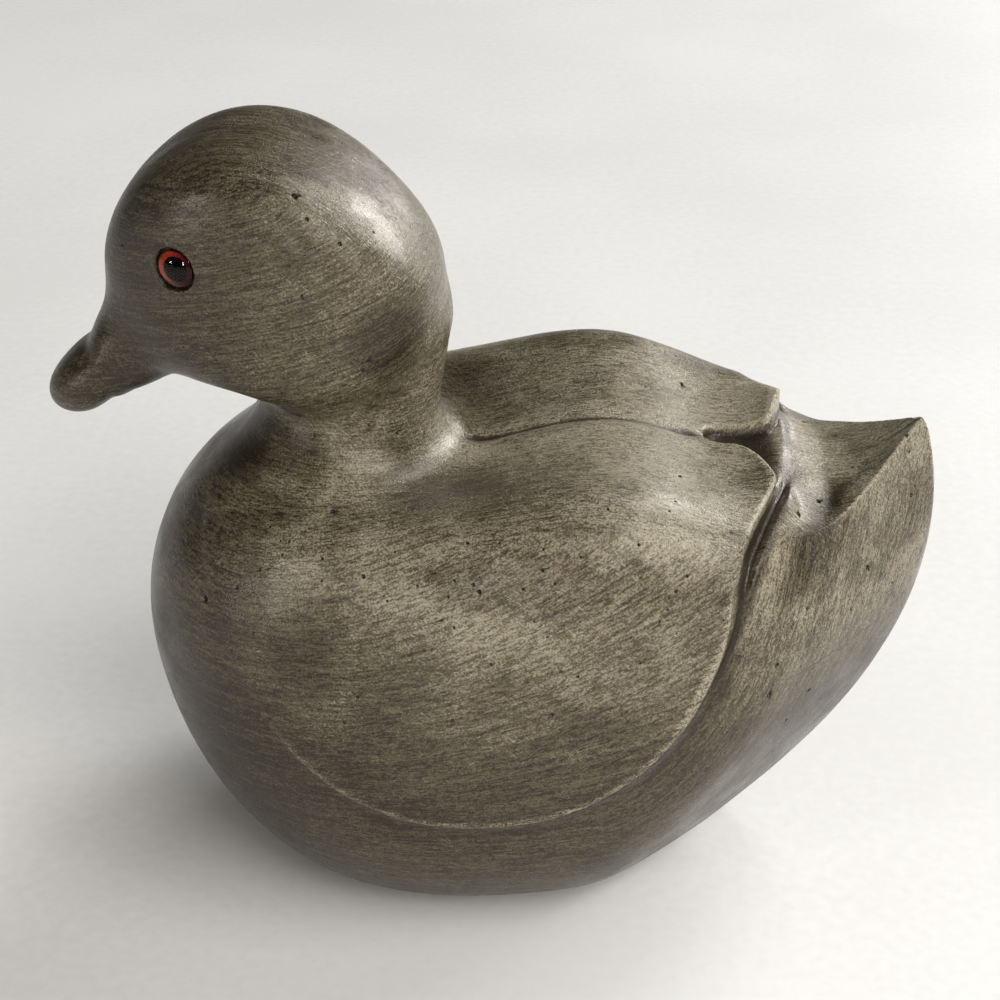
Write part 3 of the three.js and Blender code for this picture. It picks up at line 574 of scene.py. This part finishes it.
def skin_relief(mesh, pits):
    """Eye pockets with their lips, open pinholes and the waves of a hand-finished form.

    Gives back how far each point lies inside a pinhole, from 0 to 1.
    """
    p = mesh_points(mesh)
    n = unit(outward(p))
    lift = unevenness(p)
    wall = POCKET["radius"] + POCKET["wall"] / 2
    for side in (1, -1):
        centre = np.array(mirrored(EYE, side))
        axis = np.array(mirrored(EYE_LOOK, side))
        offset = p - centre
        depth = offset @ axis
        r = np.linalg.norm(offset - depth[:, None] * axis, axis=1)
        near = np.abs(depth) < EYE_CALM["depth"]
        lift[near & (r < EYE_CALM["radius"])] *= EYE_CALM["share"]
        lift += near * LIP["height"] * bell(r, LIP["radius"], LIP["half_width"])
        inside = near * (1 - smooth_step(wall - POCKET["wall"], wall, r))
        floor_depth = depth + EYE_SINK + POCKET["depth"]
        p = p - axis * (inside * floor_depth)[:, None]
        lift *= 1 - inside
    opened = np.zeros(len(p))
    for place, size in pits:
        r = np.linalg.norm(p - place, axis=1)
        inside = 1 - smooth_step(PIT["floor"] * size, size, r)
        lift -= PIT["depth"] * size * inside
        opened = np.maximum(opened, inside)
    p = p + n * lift[:, None]
    low, high = (np.array(corner) / MM for corner in cad_box)
    low[0] += MIDDLE_X
    high[0] += MIDDLE_X
    set_mesh_points(mesh, np.clip(p, low, high))
    return opened


def add_vectors(mesh, name, values):
    data = mesh.attributes.new(name, "FLOAT_VECTOR", "POINT")
    data.data.foreach_set("vector", np.ascontiguousarray(values, np.float32).ravel())


def hollowness(p):
    """How hollow the form is at a place, from its own curve over a short and a longer reach."""
    n = unit(outward(p))
    side = unit(np.cross(n, ANY_DIRECTION))
    other = np.cross(n, side)
    hollow = np.zeros(len(p))
    for reach in HOLLOW_REACHES:
        total = np.zeros(len(p))
        for direction in (side, -side, other, -other):
            total += duck(p + direction * reach)
        hollow -= total / 4 / reach / len(HOLLOW_REACHES)
    return hollow


def add_brush_runs(mesh, p, up, on_head, outside):
    """Places whose third value is the same along one run of the brushing, for three ways of brushing."""
    x, y, z = p.T
    from_neck = np.hypot(x - NECK["x"], y)
    rings = BODY_RINGS["radius"] * np.arctan2(from_neck, z - BODY_RINGS["centre_z"])
    back = x - HEAD_CENTRE[0]
    level = HEAD_RUNS["rise"] * (z - HEAD_CENTRE[1]) - HEAD_RUNS["slope"] * back - HEAD_RUNS["bend"] * back**2
    add_vectors(mesh, "round_grain", np.stack([x, y, np.where(on_head, level, rings)], axis=1))
    stern = ~on_head & (outside > STERN_RUNS["outside"]) & (x > STERN_RUNS["from_x"])
    stern &= up < STERN_RUNS["steepest"]
    beside_wing = np.where(stern, outside + STERN_RUNS["shift"], y)
    add_vectors(mesh, "rear_grain", np.stack([x, z, beside_wing], axis=1))
    add_vectors(mesh, "neck_grain", np.stack([x, y, z - from_neck], axis=1))


def patchy_stain_and_shadow(p):
    """How dark the patches are at each point, partly wash and partly painted shadow."""
    x, y, z = p.T
    stain_and_shade = np.zeros(len(p))
    for cx, cy, cz, reach, dark in STAIN_AND_SHADOW_PATCHES:
        away = np.sqrt((x - cx) ** 2 + (np.abs(y) + cy) ** 2 + (z - cz) ** 2)
        stain_and_shade = np.maximum(stain_and_shade, dark * (1 - smooth_step(*PATCH_FADE, away / reach)))
    return stain_and_shade


def wash_and_shade_fields(p, head_share, neck_share, outside):
    """How dark the wash and painted shade are at each point, and how hollow the form is there for it, with
    the wing's lower edge counted as less hollow for its wear and painted highlight.
    """
    x, y, z = p.T
    body_share = (1 - head_share) * (1 - neck_share)
    front = smooth_step(*SHADED_FRONT_X, x)
    # Painted shade on the body, low down and towards the breast.
    height = LOW_AND_BREAST_SHADE["share"] * smooth_step(*LOW_AND_BREAST_SHADE["z"], z)
    breast = LOW_AND_BREAST_SHADE["share"] * smooth_step(*LOW_AND_BREAST_SHADE["x"], x)
    low = np.minimum(LOW_AND_BREAST_SHADE["least"] + height + breast, LOW_AND_BREAST_SHADE["most"])
    # Darker head and neck throughout, with painted shade towards the front.
    head = head_share * (HEAD_DARKENING["least"] + HEAD_DARKENING["front"] * front)
    neck = neck_share * (NECK_DARKENING["least"] + NECK_DARKENING["front"] * front)
    beyond = outside - tip_reach(x, y)
    in_valley = bell(beyond, VALLEY["at"] - VALLEY_WASH["lead"], VALLEY["half_width"])
    valley = VALLEY_WASH["share"] * rear_share(VALLEY, x, y, z) * in_valley
    # Painted shadow of the wing's rear edge in the groove.
    in_groove = bell(beyond, GROOVE["at"] - GROOVE_SHADOW["lead"], GROOVE_SHADOW["half_width"])
    groove = GROOVE_SHADOW["share"] * smooth_step(*REAR_X, x) * in_groove
    edge_run = smooth_step(*EDGE_RUN["z"], z) * smooth_step(*EDGE_RUN["x"], x) * body_share
    # Painted shadow below the wing's lower edge.
    foot_shadow = FOOT_SHADOW["share"] * edge_run * bell(beyond, FOOT_SHADOW["at"], FOOT_SHADOW["half_width"])
    # Painted shade inside the slot.
    slot = smooth_step(*SLOT_SHADE["inside"], inside_slot(x, y)) * smooth_step(*SLOT_SHADE["x"], x)
    slot = slot * (x > SLOT_SHADE["from_x"]) * (z > SLOT_SHADE["from_z"])
    stain_and_shade = np.maximum.reduce([patchy_stain_and_shadow(p), low * body_share + (head + neck), valley, groove, foot_shadow, slot])
    # Lighter wing edge, partly worn and partly painted highlight, taken off the hollowness so that it
    # lightens.
    worn_and_lit_edge = EDGE_WEAR_AND_SHEEN["share"] * edge_run * bell(beyond, EDGE_WEAR_AND_SHEEN["at"], EDGE_WEAR_AND_SHEEN["half_width"])
    return stain_and_shade, hollowness(p) - worn_and_lit_edge


def add_fields(mesh, opened):
    """What the resin reads at each point: its brushing, the shares of each run of it, wash with painted
    shade, and pinholes.
    """
    p = mesh_points(mesh)
    x, y, z = p.T
    up = unit(outward(p))[:, 2]
    lower = winged_body(x, y, z)
    neck = neck_form(x, y, z)
    head_share = smooth_step(*HEAD_JOIN, np.minimum(lower, neck) - head_and_bill(x, y, z))
    neck_share = (1 - head_share) * smooth_step(*NECK_JOIN, lower - neck)
    on_head = head_share > 0.5
    outside = outside_wing(x, z)
    add_brush_runs(mesh, p, up, on_head, outside)
    top = smooth_step(*TOP_RUNS["up"], up) * np.where(on_head, 1, smooth_step(*TOP_RUNS["x"], x))
    behind = smooth_step(*REAR_RUNS["outside"], outside) * smooth_step(*REAR_RUNS["x"], x) * ~on_head
    stain_and_shade, hollow = wash_and_shade_fields(p, head_share, neck_share, outside)
    add_vectors(mesh, "zones", np.stack([neck_share, np.maximum(top, behind), hollow], axis=1))
    near_side = smooth_step(2, -2, y)
    add_vectors(mesh, "marks", np.stack([opened, stain_and_shade, near_side], axis=1))


def fine_duck():
    """The whole cast duck as a fine mesh, with what its material reads."""
    mesh = even_skin()
    set_mesh_points(mesh, settle(mesh_points(mesh), ROUNDS["settle"]))
    even_out(mesh, ROUNDS["even"])
    for _ in range(ROUNDS["bends"]):
        refine_bends(mesh)
        even_out(mesh, ROUNDS["even_bends"])
    near = np.array([hole[:3] for hole in PINHOLES], float)
    far = near * FAR_PINHOLES["scale"] + FAR_PINHOLES["shift"]
    sizes = [hole[3] for hole in PINHOLES]
    pits = []
    for places in (near, far):
        pits += zip(settle(places, ROUNDS["pinholes"]), sizes)
    eyes = [np.array(mirrored(EYE, side)) for side in (1, -1)]
    refine_near(mesh, eyes, **EYE_FINENESS)
    refine_near(mesh, [place for place, _ in pits], **PINHOLE_FINENESS)
    add_fields(mesh, skin_relief(mesh, pits))
    for face in mesh.polygons:
        face.use_smooth = True
    return mesh


class Nodes:
    """A short way to write a material's nodes."""

    def __init__(self, name):
        self.material = bpy.data.materials.new(name)
        self.material.use_nodes = True
        self.tree = self.material.node_tree
        self.tree.nodes.clear()
        self.output = self.add("ShaderNodeOutputMaterial")

    def add(self, kind, **settings):
        node = self.tree.nodes.new(kind)
        for key, value in settings.items():
            setattr(node, key, value)
        return node

    def put(self, socket, value):
        if isinstance(value, bpy.types.NodeSocket):
            self.tree.links.new(value, socket)
        else:
            socket.default_value = value

    def math(self, operation, a, b=0.0, c=0.0):
        node = self.add("ShaderNodeMath", operation=operation)
        for socket, value in zip(node.inputs, (a, b, c)):
            self.put(socket, value)
        return node.outputs[0]

    def vector(self, x, y, z):
        node = self.add("ShaderNodeCombineXYZ")
        for socket, value in zip(node.inputs, (x, y, z)):
            self.put(socket, value)
        return node.outputs[0]

    def attribute(self, name):
        return self.add("ShaderNodeAttribute", attribute_name=name).outputs["Vector"]

    def split(self, vector):
        node = self.add("ShaderNodeSeparateXYZ")
        self.put(node.inputs[0], vector)
        return node.outputs

    def scaled(self, vector, scale, shift=(0, 0, 0)):
        node = self.add("ShaderNodeVectorMath", operation="MULTIPLY_ADD")
        self.put(node.inputs[0], vector)
        self.put(node.inputs[1], scale)
        self.put(node.inputs[2], shift)
        return node.outputs[0]

    def turned(self, vector, angles):
        node = self.add("ShaderNodeVectorRotate", rotation_type="EULER_XYZ")
        self.put(node.inputs["Vector"], vector)
        self.put(node.inputs["Rotation"], angles)
        return node.outputs[0]

    def noise(self, vector, detail=2.0, roughness=0.5, scale=1.0):
        node = self.add("ShaderNodeTexNoise")
        self.put(node.inputs["Vector"], vector)
        self.put(node.inputs["Scale"], scale)
        self.put(node.inputs["Detail"], detail)
        self.put(node.inputs["Roughness"], roughness)
        return node.outputs["Fac"]

    def ramp(self, value, low, high, to_low=0.0, to_high=1.0, smooth=True):
        node = self.add("ShaderNodeMapRange", interpolation_type="SMOOTHSTEP" if smooth else "LINEAR")
        for key, item in zip(("Value", "From Min", "From Max"), (value, low, high)):
            self.put(node.inputs[key], item)
        for key, item in zip(("To Min", "To Max"), (to_low, to_high)):
            self.put(node.inputs[key], item)
        return node.outputs[0]

    def mix(self, share, a, b):
        node = self.add("ShaderNodeMix", data_type="FLOAT")
        for socket, value in zip((node.inputs[0], node.inputs[2], node.inputs[3]), (share, a, b)):
            self.put(socket, value)
        return node.outputs[0]

    def mix_colour(self, share, a, b):
        node = self.add("ShaderNodeMix", data_type="RGBA")
        for socket, value in zip((node.inputs[0], node.inputs[6], node.inputs[7]), (share, a, b)):
            self.put(socket, value)
        return node.outputs[2]

    def most(self, first, *others):
        for other in others:
            first = self.math("MAXIMUM", first, other)
        return first

    def surface(self, values):
        """Ends the material with a shader whose sockets are given by name."""
        shader = self.add("ShaderNodeBsdfPrincipled")
        for key, value in values.items():
            self.put(shader.inputs[key], value)
        self.put(self.output.inputs[0], shader.outputs[0])
        return self.material


# Hairlines on the near side: bend, slope and level of each curve, its half width and its ends in x.
HAIRLINES = (
    (-0.0013, 0.2732, 119.0, 0.15, -52, -8),
    (0.0057, -0.66, 70.76, 0.2, 52, 73),
    (-0.0073, -0.249, 66.05, 0.15, -55, -28),
)
HAIRLINE = {"wobble": 0.8, "core": 0.35, "fade": 4}
SEAM = {"wobble": 0.5, "core": 0.06, "half_width": 0.2, "on_chest": 0.5, "chest_dark": 0.85}


def hairline(n, place, wobble, bend, slope, level, half_width, from_x, to_x):
    """A thin line along the curve z = bend x x + slope x + level, between two x places."""
    x, _, z = n.split(place)
    height = n.math("MULTIPLY_ADD", n.math("MULTIPLY_ADD", x, bend, slope), x, level)
    offset = n.math("SUBTRACT", z, height)
    away = n.math("ABSOLUTE", n.math("MULTIPLY_ADD", wobble, HAIRLINE["wobble"], offset))
    line = n.ramp(away, half_width * HAIRLINE["core"], half_width, 1.0, 0.0)
    line = n.math("MULTIPLY", line, n.ramp(x, from_x, from_x + HAIRLINE["fade"], 0.0, 1.0))
    return n.math("MULTIPLY", line, n.ramp(x, to_x - HAIRLINE["fade"], to_x, 1.0, 0.0))


def seam_lines(n, place, wobble, patch):
    """The mould seam along the duck's middle, wider and darker on the chest."""
    x, y, z = n.split(place)
    away = n.math("ABSOLUTE", n.math("MULTIPLY_ADD", wobble, SEAM["wobble"], y))
    on_chest = n.math("MULTIPLY", n.ramp(x, -22, -42), n.ramp(z, 98, 88))
    width = n.math("MULTIPLY_ADD", on_chest, SEAM["on_chest"], SEAM["half_width"])
    on_chest_dark = n.math("MULTIPLY", on_chest, SEAM["chest_dark"])
    dark = n.most(n.ramp(patch, 0.35, 0.6, 0.3, 0.8), on_chest_dark)
    return n.math("MULTIPLY", n.ramp(away, SEAM["core"], width, 1.0, 0.0), dark)


def blackened_marks(n, place, opened, near_side, patch, speck):
    """Where the wash is black: fine specks, open pinholes, the mould seam and the hairlines."""
    cells = n.add("ShaderNodeTexVoronoi")
    n.put(cells.inputs["Vector"], place)
    n.put(cells.inputs["Scale"], 0.45)
    chance = n.math("MULTIPLY_ADD", patch, 0.5, n.split(cells.outputs["Color"])[0])
    spot = n.math("LESS_THAN", cells.outputs["Distance"], n.ramp(chance, 0.95, 1.25, 0.0, 0.15))
    wobble = n.math("ADD", n.noise(place, 2.0, 0.6, 0.3), -0.5)
    scratches = n.most(*[hairline(n, place, wobble, *line) for line in HAIRLINES])
    scratches = n.math("MULTIPLY", scratches, near_side)
    scratches = n.math("MULTIPLY", scratches, n.ramp(speck, 0.35, 0.55, 0.2, 0.85))
    return n.most(spot, n.ramp(opened, 0.02, 0.35), seam_lines(n, place, wobble, patch), scratches)


def resin_material():
    """Grey-brown resin, brushed along the form, with dark wash in the hollows and in the brush marks, painted
    shade and shadow where less light falls, and convex edges lighter, partly worn and partly a painted
    highlight.
    """
    n = Nodes("antiqued_resin")
    neck_run, rear_run, hollow = n.split(n.attribute("zones"))
    opened, stain_and_shade, near_side = n.split(n.attribute("marks"))
    in_millimetres = (1 / MM, 1 / MM, 1 / MM)
    place = n.scaled(n.add("ShaderNodeTexCoord").outputs["Object"], in_millimetres, (MIDDLE_X, 0, 0))
    grains = [n.attribute(name) for name in ("round_grain", "rear_grain", "neck_grain")]

    def brushed(along, across, detail, roughness, shift=0.0):
        parts = []
        for i, grain in enumerate(grains):
            vector = n.scaled(grain, (along, along, across), (shift, shift, 5.0 * i))
            parts.append(n.noise(vector, detail, roughness))
        return n.mix(neck_run, n.mix(rear_run, parts[0], parts[1]), parts[2])

    def crossed(angles):
        return n.noise(n.scaled(n.turned(place, angles), (0.45, 3.2, 3.2)), 1.0, 0.6)

    fine = brushed(0.6, 3.4, 2.0, 0.7)
    medium = brushed(0.1, 1.6, 2.0, 0.6, 31.0)
    broad = n.noise(n.scaled(place, (0.045, 0.055, 0.065)), 3.0, 0.6)
    patch = n.noise(n.scaled(place, (0.13, 0.13, 0.16), (7, 3, 5)), 2.0, 0.55)
    speck = n.noise(n.scaled(place, (2.8, 2.8, 2.8)), 2.0, 0.65)
    rising = crossed((0, 0.9, 0.2))
    falling = crossed((0.3, -0.75, -0.2))
    crossing = n.most(n.ramp(rising, 0.57, 0.69), n.ramp(falling, 0.57, 0.69))
    crossing = n.math("MULTIPLY", crossing, n.ramp(patch, 0.42, 0.6))

    # This darkening holds wash patches together with painted shade and shadow.
    stain_and_shade = n.math("MULTIPLY", stain_and_shade, n.ramp(medium, 0.3, 0.7, 1.2, 0.8, smooth=False))
    thick_wash_and_shade = n.most(n.ramp(broad, 0.58, 0.34), n.math("MULTIPLY", stain_and_shade, 0.9))
    wash_and_shade = n.most(n.ramp(hollow, 0.03, 0.16), stain_and_shade)

    def by_wash_and_shade(thin_value, thick_value):
        return n.ramp(thick_wash_and_shade, 0.0, 1.0, thin_value, thick_value, smooth=False)

    washed_and_shaded = n.ramp(wash_and_shade, 0.0, 1.0, 1.0, 0.1, smooth=False)
    tone = n.math("MULTIPLY", by_wash_and_shade(1.0, 0.72), washed_and_shaded)
    dashes = n.math("MULTIPLY", n.ramp(fine, 0.53, 0.36), by_wash_and_shade(0.3, 0.42))
    streaks = n.math("MULTIPLY", n.ramp(medium, 0.6, 0.34), by_wash_and_shade(0.1, 0.15))
    for darker in (dashes, streaks, n.ramp(speck, 0.58, 0.38, 0.0, 0.3)):
        tone = n.math("SUBTRACT", tone, darker)
    # Convex places lighter: partly rubbed wear, partly painted highlight.
    worn_and_sheen = n.math("MULTIPLY", n.ramp(hollow, -0.12, -0.32), n.ramp(speck, 0.35, 0.6, 0.4, 1.0))
    tone = n.math("MULTIPLY_ADD", crossing, 0.2, tone)
    tone = n.math("MULTIPLY_ADD", worn_and_sheen, 0.4, tone)

    dark = (0.017, 0.0125, 0.007, 1)
    middle = (0.1, 0.082, 0.05, 1)
    light = (0.36, 0.325, 0.24, 1)
    black = (0.008, 0.006, 0.004, 1)
    colour = n.mix_colour(n.ramp(tone, 0.0, 0.5, smooth=False), dark, middle)
    colour = n.mix_colour(n.ramp(tone, 0.5, 1.0, smooth=False), colour, light)
    marks = blackened_marks(n, place, opened, near_side, patch, speck)
    colour = n.mix_colour(marks, colour, black)

    height = n.math("MULTIPLY", fine, 0.7)
    height = n.math("MULTIPLY_ADD", speck, 0.5, height)
    height = n.math("MULTIPLY_ADD", crossing, 0.9, height)
    bump = n.add("ShaderNodeBump")
    n.put(bump.inputs["Height"], height)
    n.put(bump.inputs["Strength"], 0.7)
    n.put(bump.inputs["Distance"], 0.00014)
    return n.surface({
        "Base Color": colour,
        "Roughness": n.ramp(patch, 0.3, 0.7, 0.25, 0.35),
        "IOR": 1.5,
        "Specular Tint": (1, 0.93, 0.82, 1),
        "Normal": bump.outputs[0],
    })


def glass_material():
    n = Nodes("eye_glass")
    return n.surface({
        "Base Color": (1, 0.97, 0.95, 1),
        "Roughness": 0.02,
        "IOR": 1.3,
        "Transmission Weight": 1,
    })


def paint_surface(n, colour):
    """A dull paint, which leaves all the shine to the glass above it."""
    return n.surface({"Base Color": colour, "Roughness": 0.8, "Specular IOR Level": 0})


def iris_material():
    """Red paint with fine rays: orange in front, pinker behind, dark at the rim, with painted light above and
    in front and painted shade below.
    """
    n = Nodes("iris_paint")
    r_share, forward, upward = n.split(n.attribute("iris"))
    turn = n.math("ARCTAN2", upward, forward)
    rays = n.noise(n.vector(n.math("MULTIPLY", turn, 7.0), n.math("MULTIPLY", r_share, 1.5), 0.0), 2.0, 0.6)
    outer = n.ramp(r_share, 0.8, 1.0, 1.0, 0.06)
    # Painted light on the iris above and in front, painted shade below.
    lit = n.ramp(n.math("MULTIPLY_ADD", upward, 0.7, forward), -0.8, 0.6, 0.14, 1.0)
    light = n.math("MULTIPLY", n.math("MULTIPLY", lit, outer), n.ramp(rays, 0.3, 0.7, 0.5, 1.0))
    paint = n.mix_colour(n.ramp(forward, -0.5, 0.6), (0.3, 0.02, 0.035, 1), (0.42, 0.05, 0.012, 1))
    return paint_surface(n, n.mix_colour(light, (0.012, 0.003, 0.002, 1), paint))


def pupil_material():
    n = Nodes("pupil_paint")
    place = n.add("ShaderNodeTexCoord").outputs["Object"]
    shade = n.ramp(n.noise(place, 2.0, 0.5, 900), 0.3, 0.7, 0.0, 0.002)
    return paint_surface(n, n.mix_colour(shade, (0.001, 0.0008, 0.0008, 1), (1, 0.9, 0.8, 1)))


def turned_mesh(name, section):
    """A closed turned form about Z from (radius, height) points in millimetres, axis to axis."""
    mesh = bpy.data.meshes.new(name)
    bm = bmesh.new()
    sides = EYE_SIDES
    rings = []
    for radius, height in section:
        count = 1 if radius < 1e-6 else sides
        ring = []
        for s in range(count):
            angle = 2 * math.pi * s / sides
            place = (radius * math.cos(angle) * MM, radius * math.sin(angle) * MM, height * MM)
            ring.append(bm.verts.new(place))
        rings.append(ring)
    for low, high in zip(rings, rings[1:]):
        for s in range(sides):
            t = (s + 1) % sides
            corners = [low[s % len(low)], low[t % len(low)], high[t % len(high)], high[s % len(high)]]
            kept = list(dict.fromkeys(corners))
            if len(kept) > 2:
                bm.faces.new(kept)
    bmesh.ops.recalc_face_normals(bm, faces=bm.faces)
    bm.to_mesh(mesh)
    bm.free()
    for face in mesh.polygons:
        face.use_smooth = True
    return mesh


def dome_section():
    """The glass: flat behind, with a short side wall and a domed front."""
    sphere = (EYE_RADIUS**2 + EYE_DOME**2) / (2 * EYE_DOME)
    half = math.asin(EYE_RADIUS / sphere)
    section = [(0, -EYE_DEPTH), (EYE_RADIUS * DOME["back"], -EYE_DEPTH)]
    section += [(EYE_RADIUS * DOME["side"], -EYE_DEPTH * DOME["side_depth"]), (EYE_RADIUS, -DOME["rim"])]
    for row in range(DOME["rows"]):
        angle = half * (1 - row / DOME["rows"])
        section.append((sphere * math.sin(angle), EYE_DOME - sphere * (1 - math.cos(angle))))
    return section + [(0, EYE_DOME)]


def iris_section():
    """The iris: a shallow dish round the pupil, with a cone behind it."""
    rows = IRIS["rows"]
    section = [(0, IRIS["middle"])]
    for row in range(1, rows + 1):
        section.append((IRIS_RADIUS * row / rows, IRIS["middle"] + IRIS["rise"] * (row / rows) ** 2))
    return section + [(IRIS_RADIUS, IRIS["rim"]), (0, IRIS["back"])]


def pupil_section():
    """The pupil: a low button that stands in the iris."""
    front = [(0, PUPIL["top"]), (PUPIL_RADIUS * PUPIL["shoulder"], PUPIL["shoulder_z"])]
    return front + [(PUPIL_RADIUS, PUPIL["rim"]), (PUPIL_RADIUS, PUPIL["side"]), (0, PUPIL["back"])]


def add_eye(name, side, glass, iris_paint, pupil_paint):
    place = eye_matrix(side)
    dome = turned_mesh(name + "_dome", dome_section())
    dome.transform(place)
    dome_piece = new_object(name + "_dome", dome, glass)
    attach(dome_piece, "root")
    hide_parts(name)
    iris = turned_mesh(name + "_iris", iris_section())
    share = [v.co.xy.length / MM / IRIS_RADIUS for v in iris.vertices]
    iris.transform(place)
    middle = to_frame(mirrored(EYE, side))
    values = []
    for v, r_share in zip(iris.vertices, share):
        offset = (v.co - middle) / MM / IRIS_RADIUS
        values.append((r_share, -offset.x, offset.z))
    add_vectors(iris, "iris", np.array(values))
    pupil = turned_mesh(name + "_pupil", pupil_section())
    pupil.transform(place)
    iris_piece = new_object(name + "_iris", iris, iris_paint)
    pupil_piece = new_object(name + "_pupil", pupil, pupil_paint)
    for piece in (iris_piece, pupil_piece):
        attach(piece, "root")


def floor_material():
    n = Nodes("pale_floor")
    place = n.add("ShaderNodeTexCoord").outputs["Object"]
    cloud = n.noise(place, 3.0, 0.5, 6.0)
    grain = n.noise(place, 2.0, 0.5, 400.0)
    tone = n.math("MULTIPLY_ADD", grain, 0.3, n.math("MULTIPLY", cloud, 0.7))
    colour = n.mix_colour(n.ramp(tone, 0.35, 0.65), (0.72, 0.714, 0.705, 1), (0.79, 0.785, 0.776, 1))
    return n.surface({"Base Color": colour, "Roughness": 0.55})


def add_floor():
    mesh = bpy.data.meshes.new("floor")
    half = FLOOR_HALF
    corners = [(-half, -half, 0), (half, -half, 0), (half, half, 0), (-half, half, 0)]
    mesh.from_pydata(corners, [], [(0, 1, 2, 3)])
    new_object("floor", mesh, floor_material())


def add_light(name, azimuth, elevation, distance, size, power, colour):
    """A soft panel that looks at the duck from that direction (degrees, azimuth from +X towards +Y)."""
    light = bpy.data.lights.new(name, "AREA")
    light.shape = "RECTANGLE"
    light.size, light.size_y = size
    light.energy = power
    light.color = colour
    obj = bpy.data.objects.new(name, light)
    a, e = math.radians(azimuth), math.radians(elevation)
    away = Vector((math.cos(e) * math.cos(a), math.cos(e) * math.sin(a), math.sin(e)))
    obj.location = away * distance + LIT_PLACE
    obj.rotation_euler = away.to_track_quat("Z", "Y").to_euler()
    bpy.context.scene.collection.objects.link(obj)


def add_room():
    world = bpy.data.worlds.new("room")
    bpy.context.scene.world = world
    world.use_nodes = True
    back = world.node_tree.nodes["Background"]
    back.inputs["Color"].default_value = SURROUND["colour"]
    back.inputs["Strength"].default_value = SURROUND["strength"]
    for light in LIGHTS:
        add_light(*light)


def add_camera():
    data = bpy.data.cameras.new("camera")
    data.lens = LENS
    data.sensor_width = SENSOR
    data.clip_start = NEAREST
    camera = bpy.data.objects.new("camera", data)
    camera.location = CAMERA_PLACE
    camera.rotation_euler = (math.radians(90 - CAMERA_PITCH), 0, math.radians(CAMERA_YAW))
    bpy.context.scene.collection.objects.link(camera)
    bpy.context.scene.camera = camera


add_camera()
add_room()
add_floor()
duck_piece = new_object("cast_duck", fine_duck(), resin_material())
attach(duck_piece, "root")
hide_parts("duck_body")
materials = (glass_material(), iris_material(), pupil_material())
add_eye("left_eye", -1, *materials)
add_eye("right_eye", 1, *materials)
bpy.context.scene.view_settings.view_transform = "Standard"
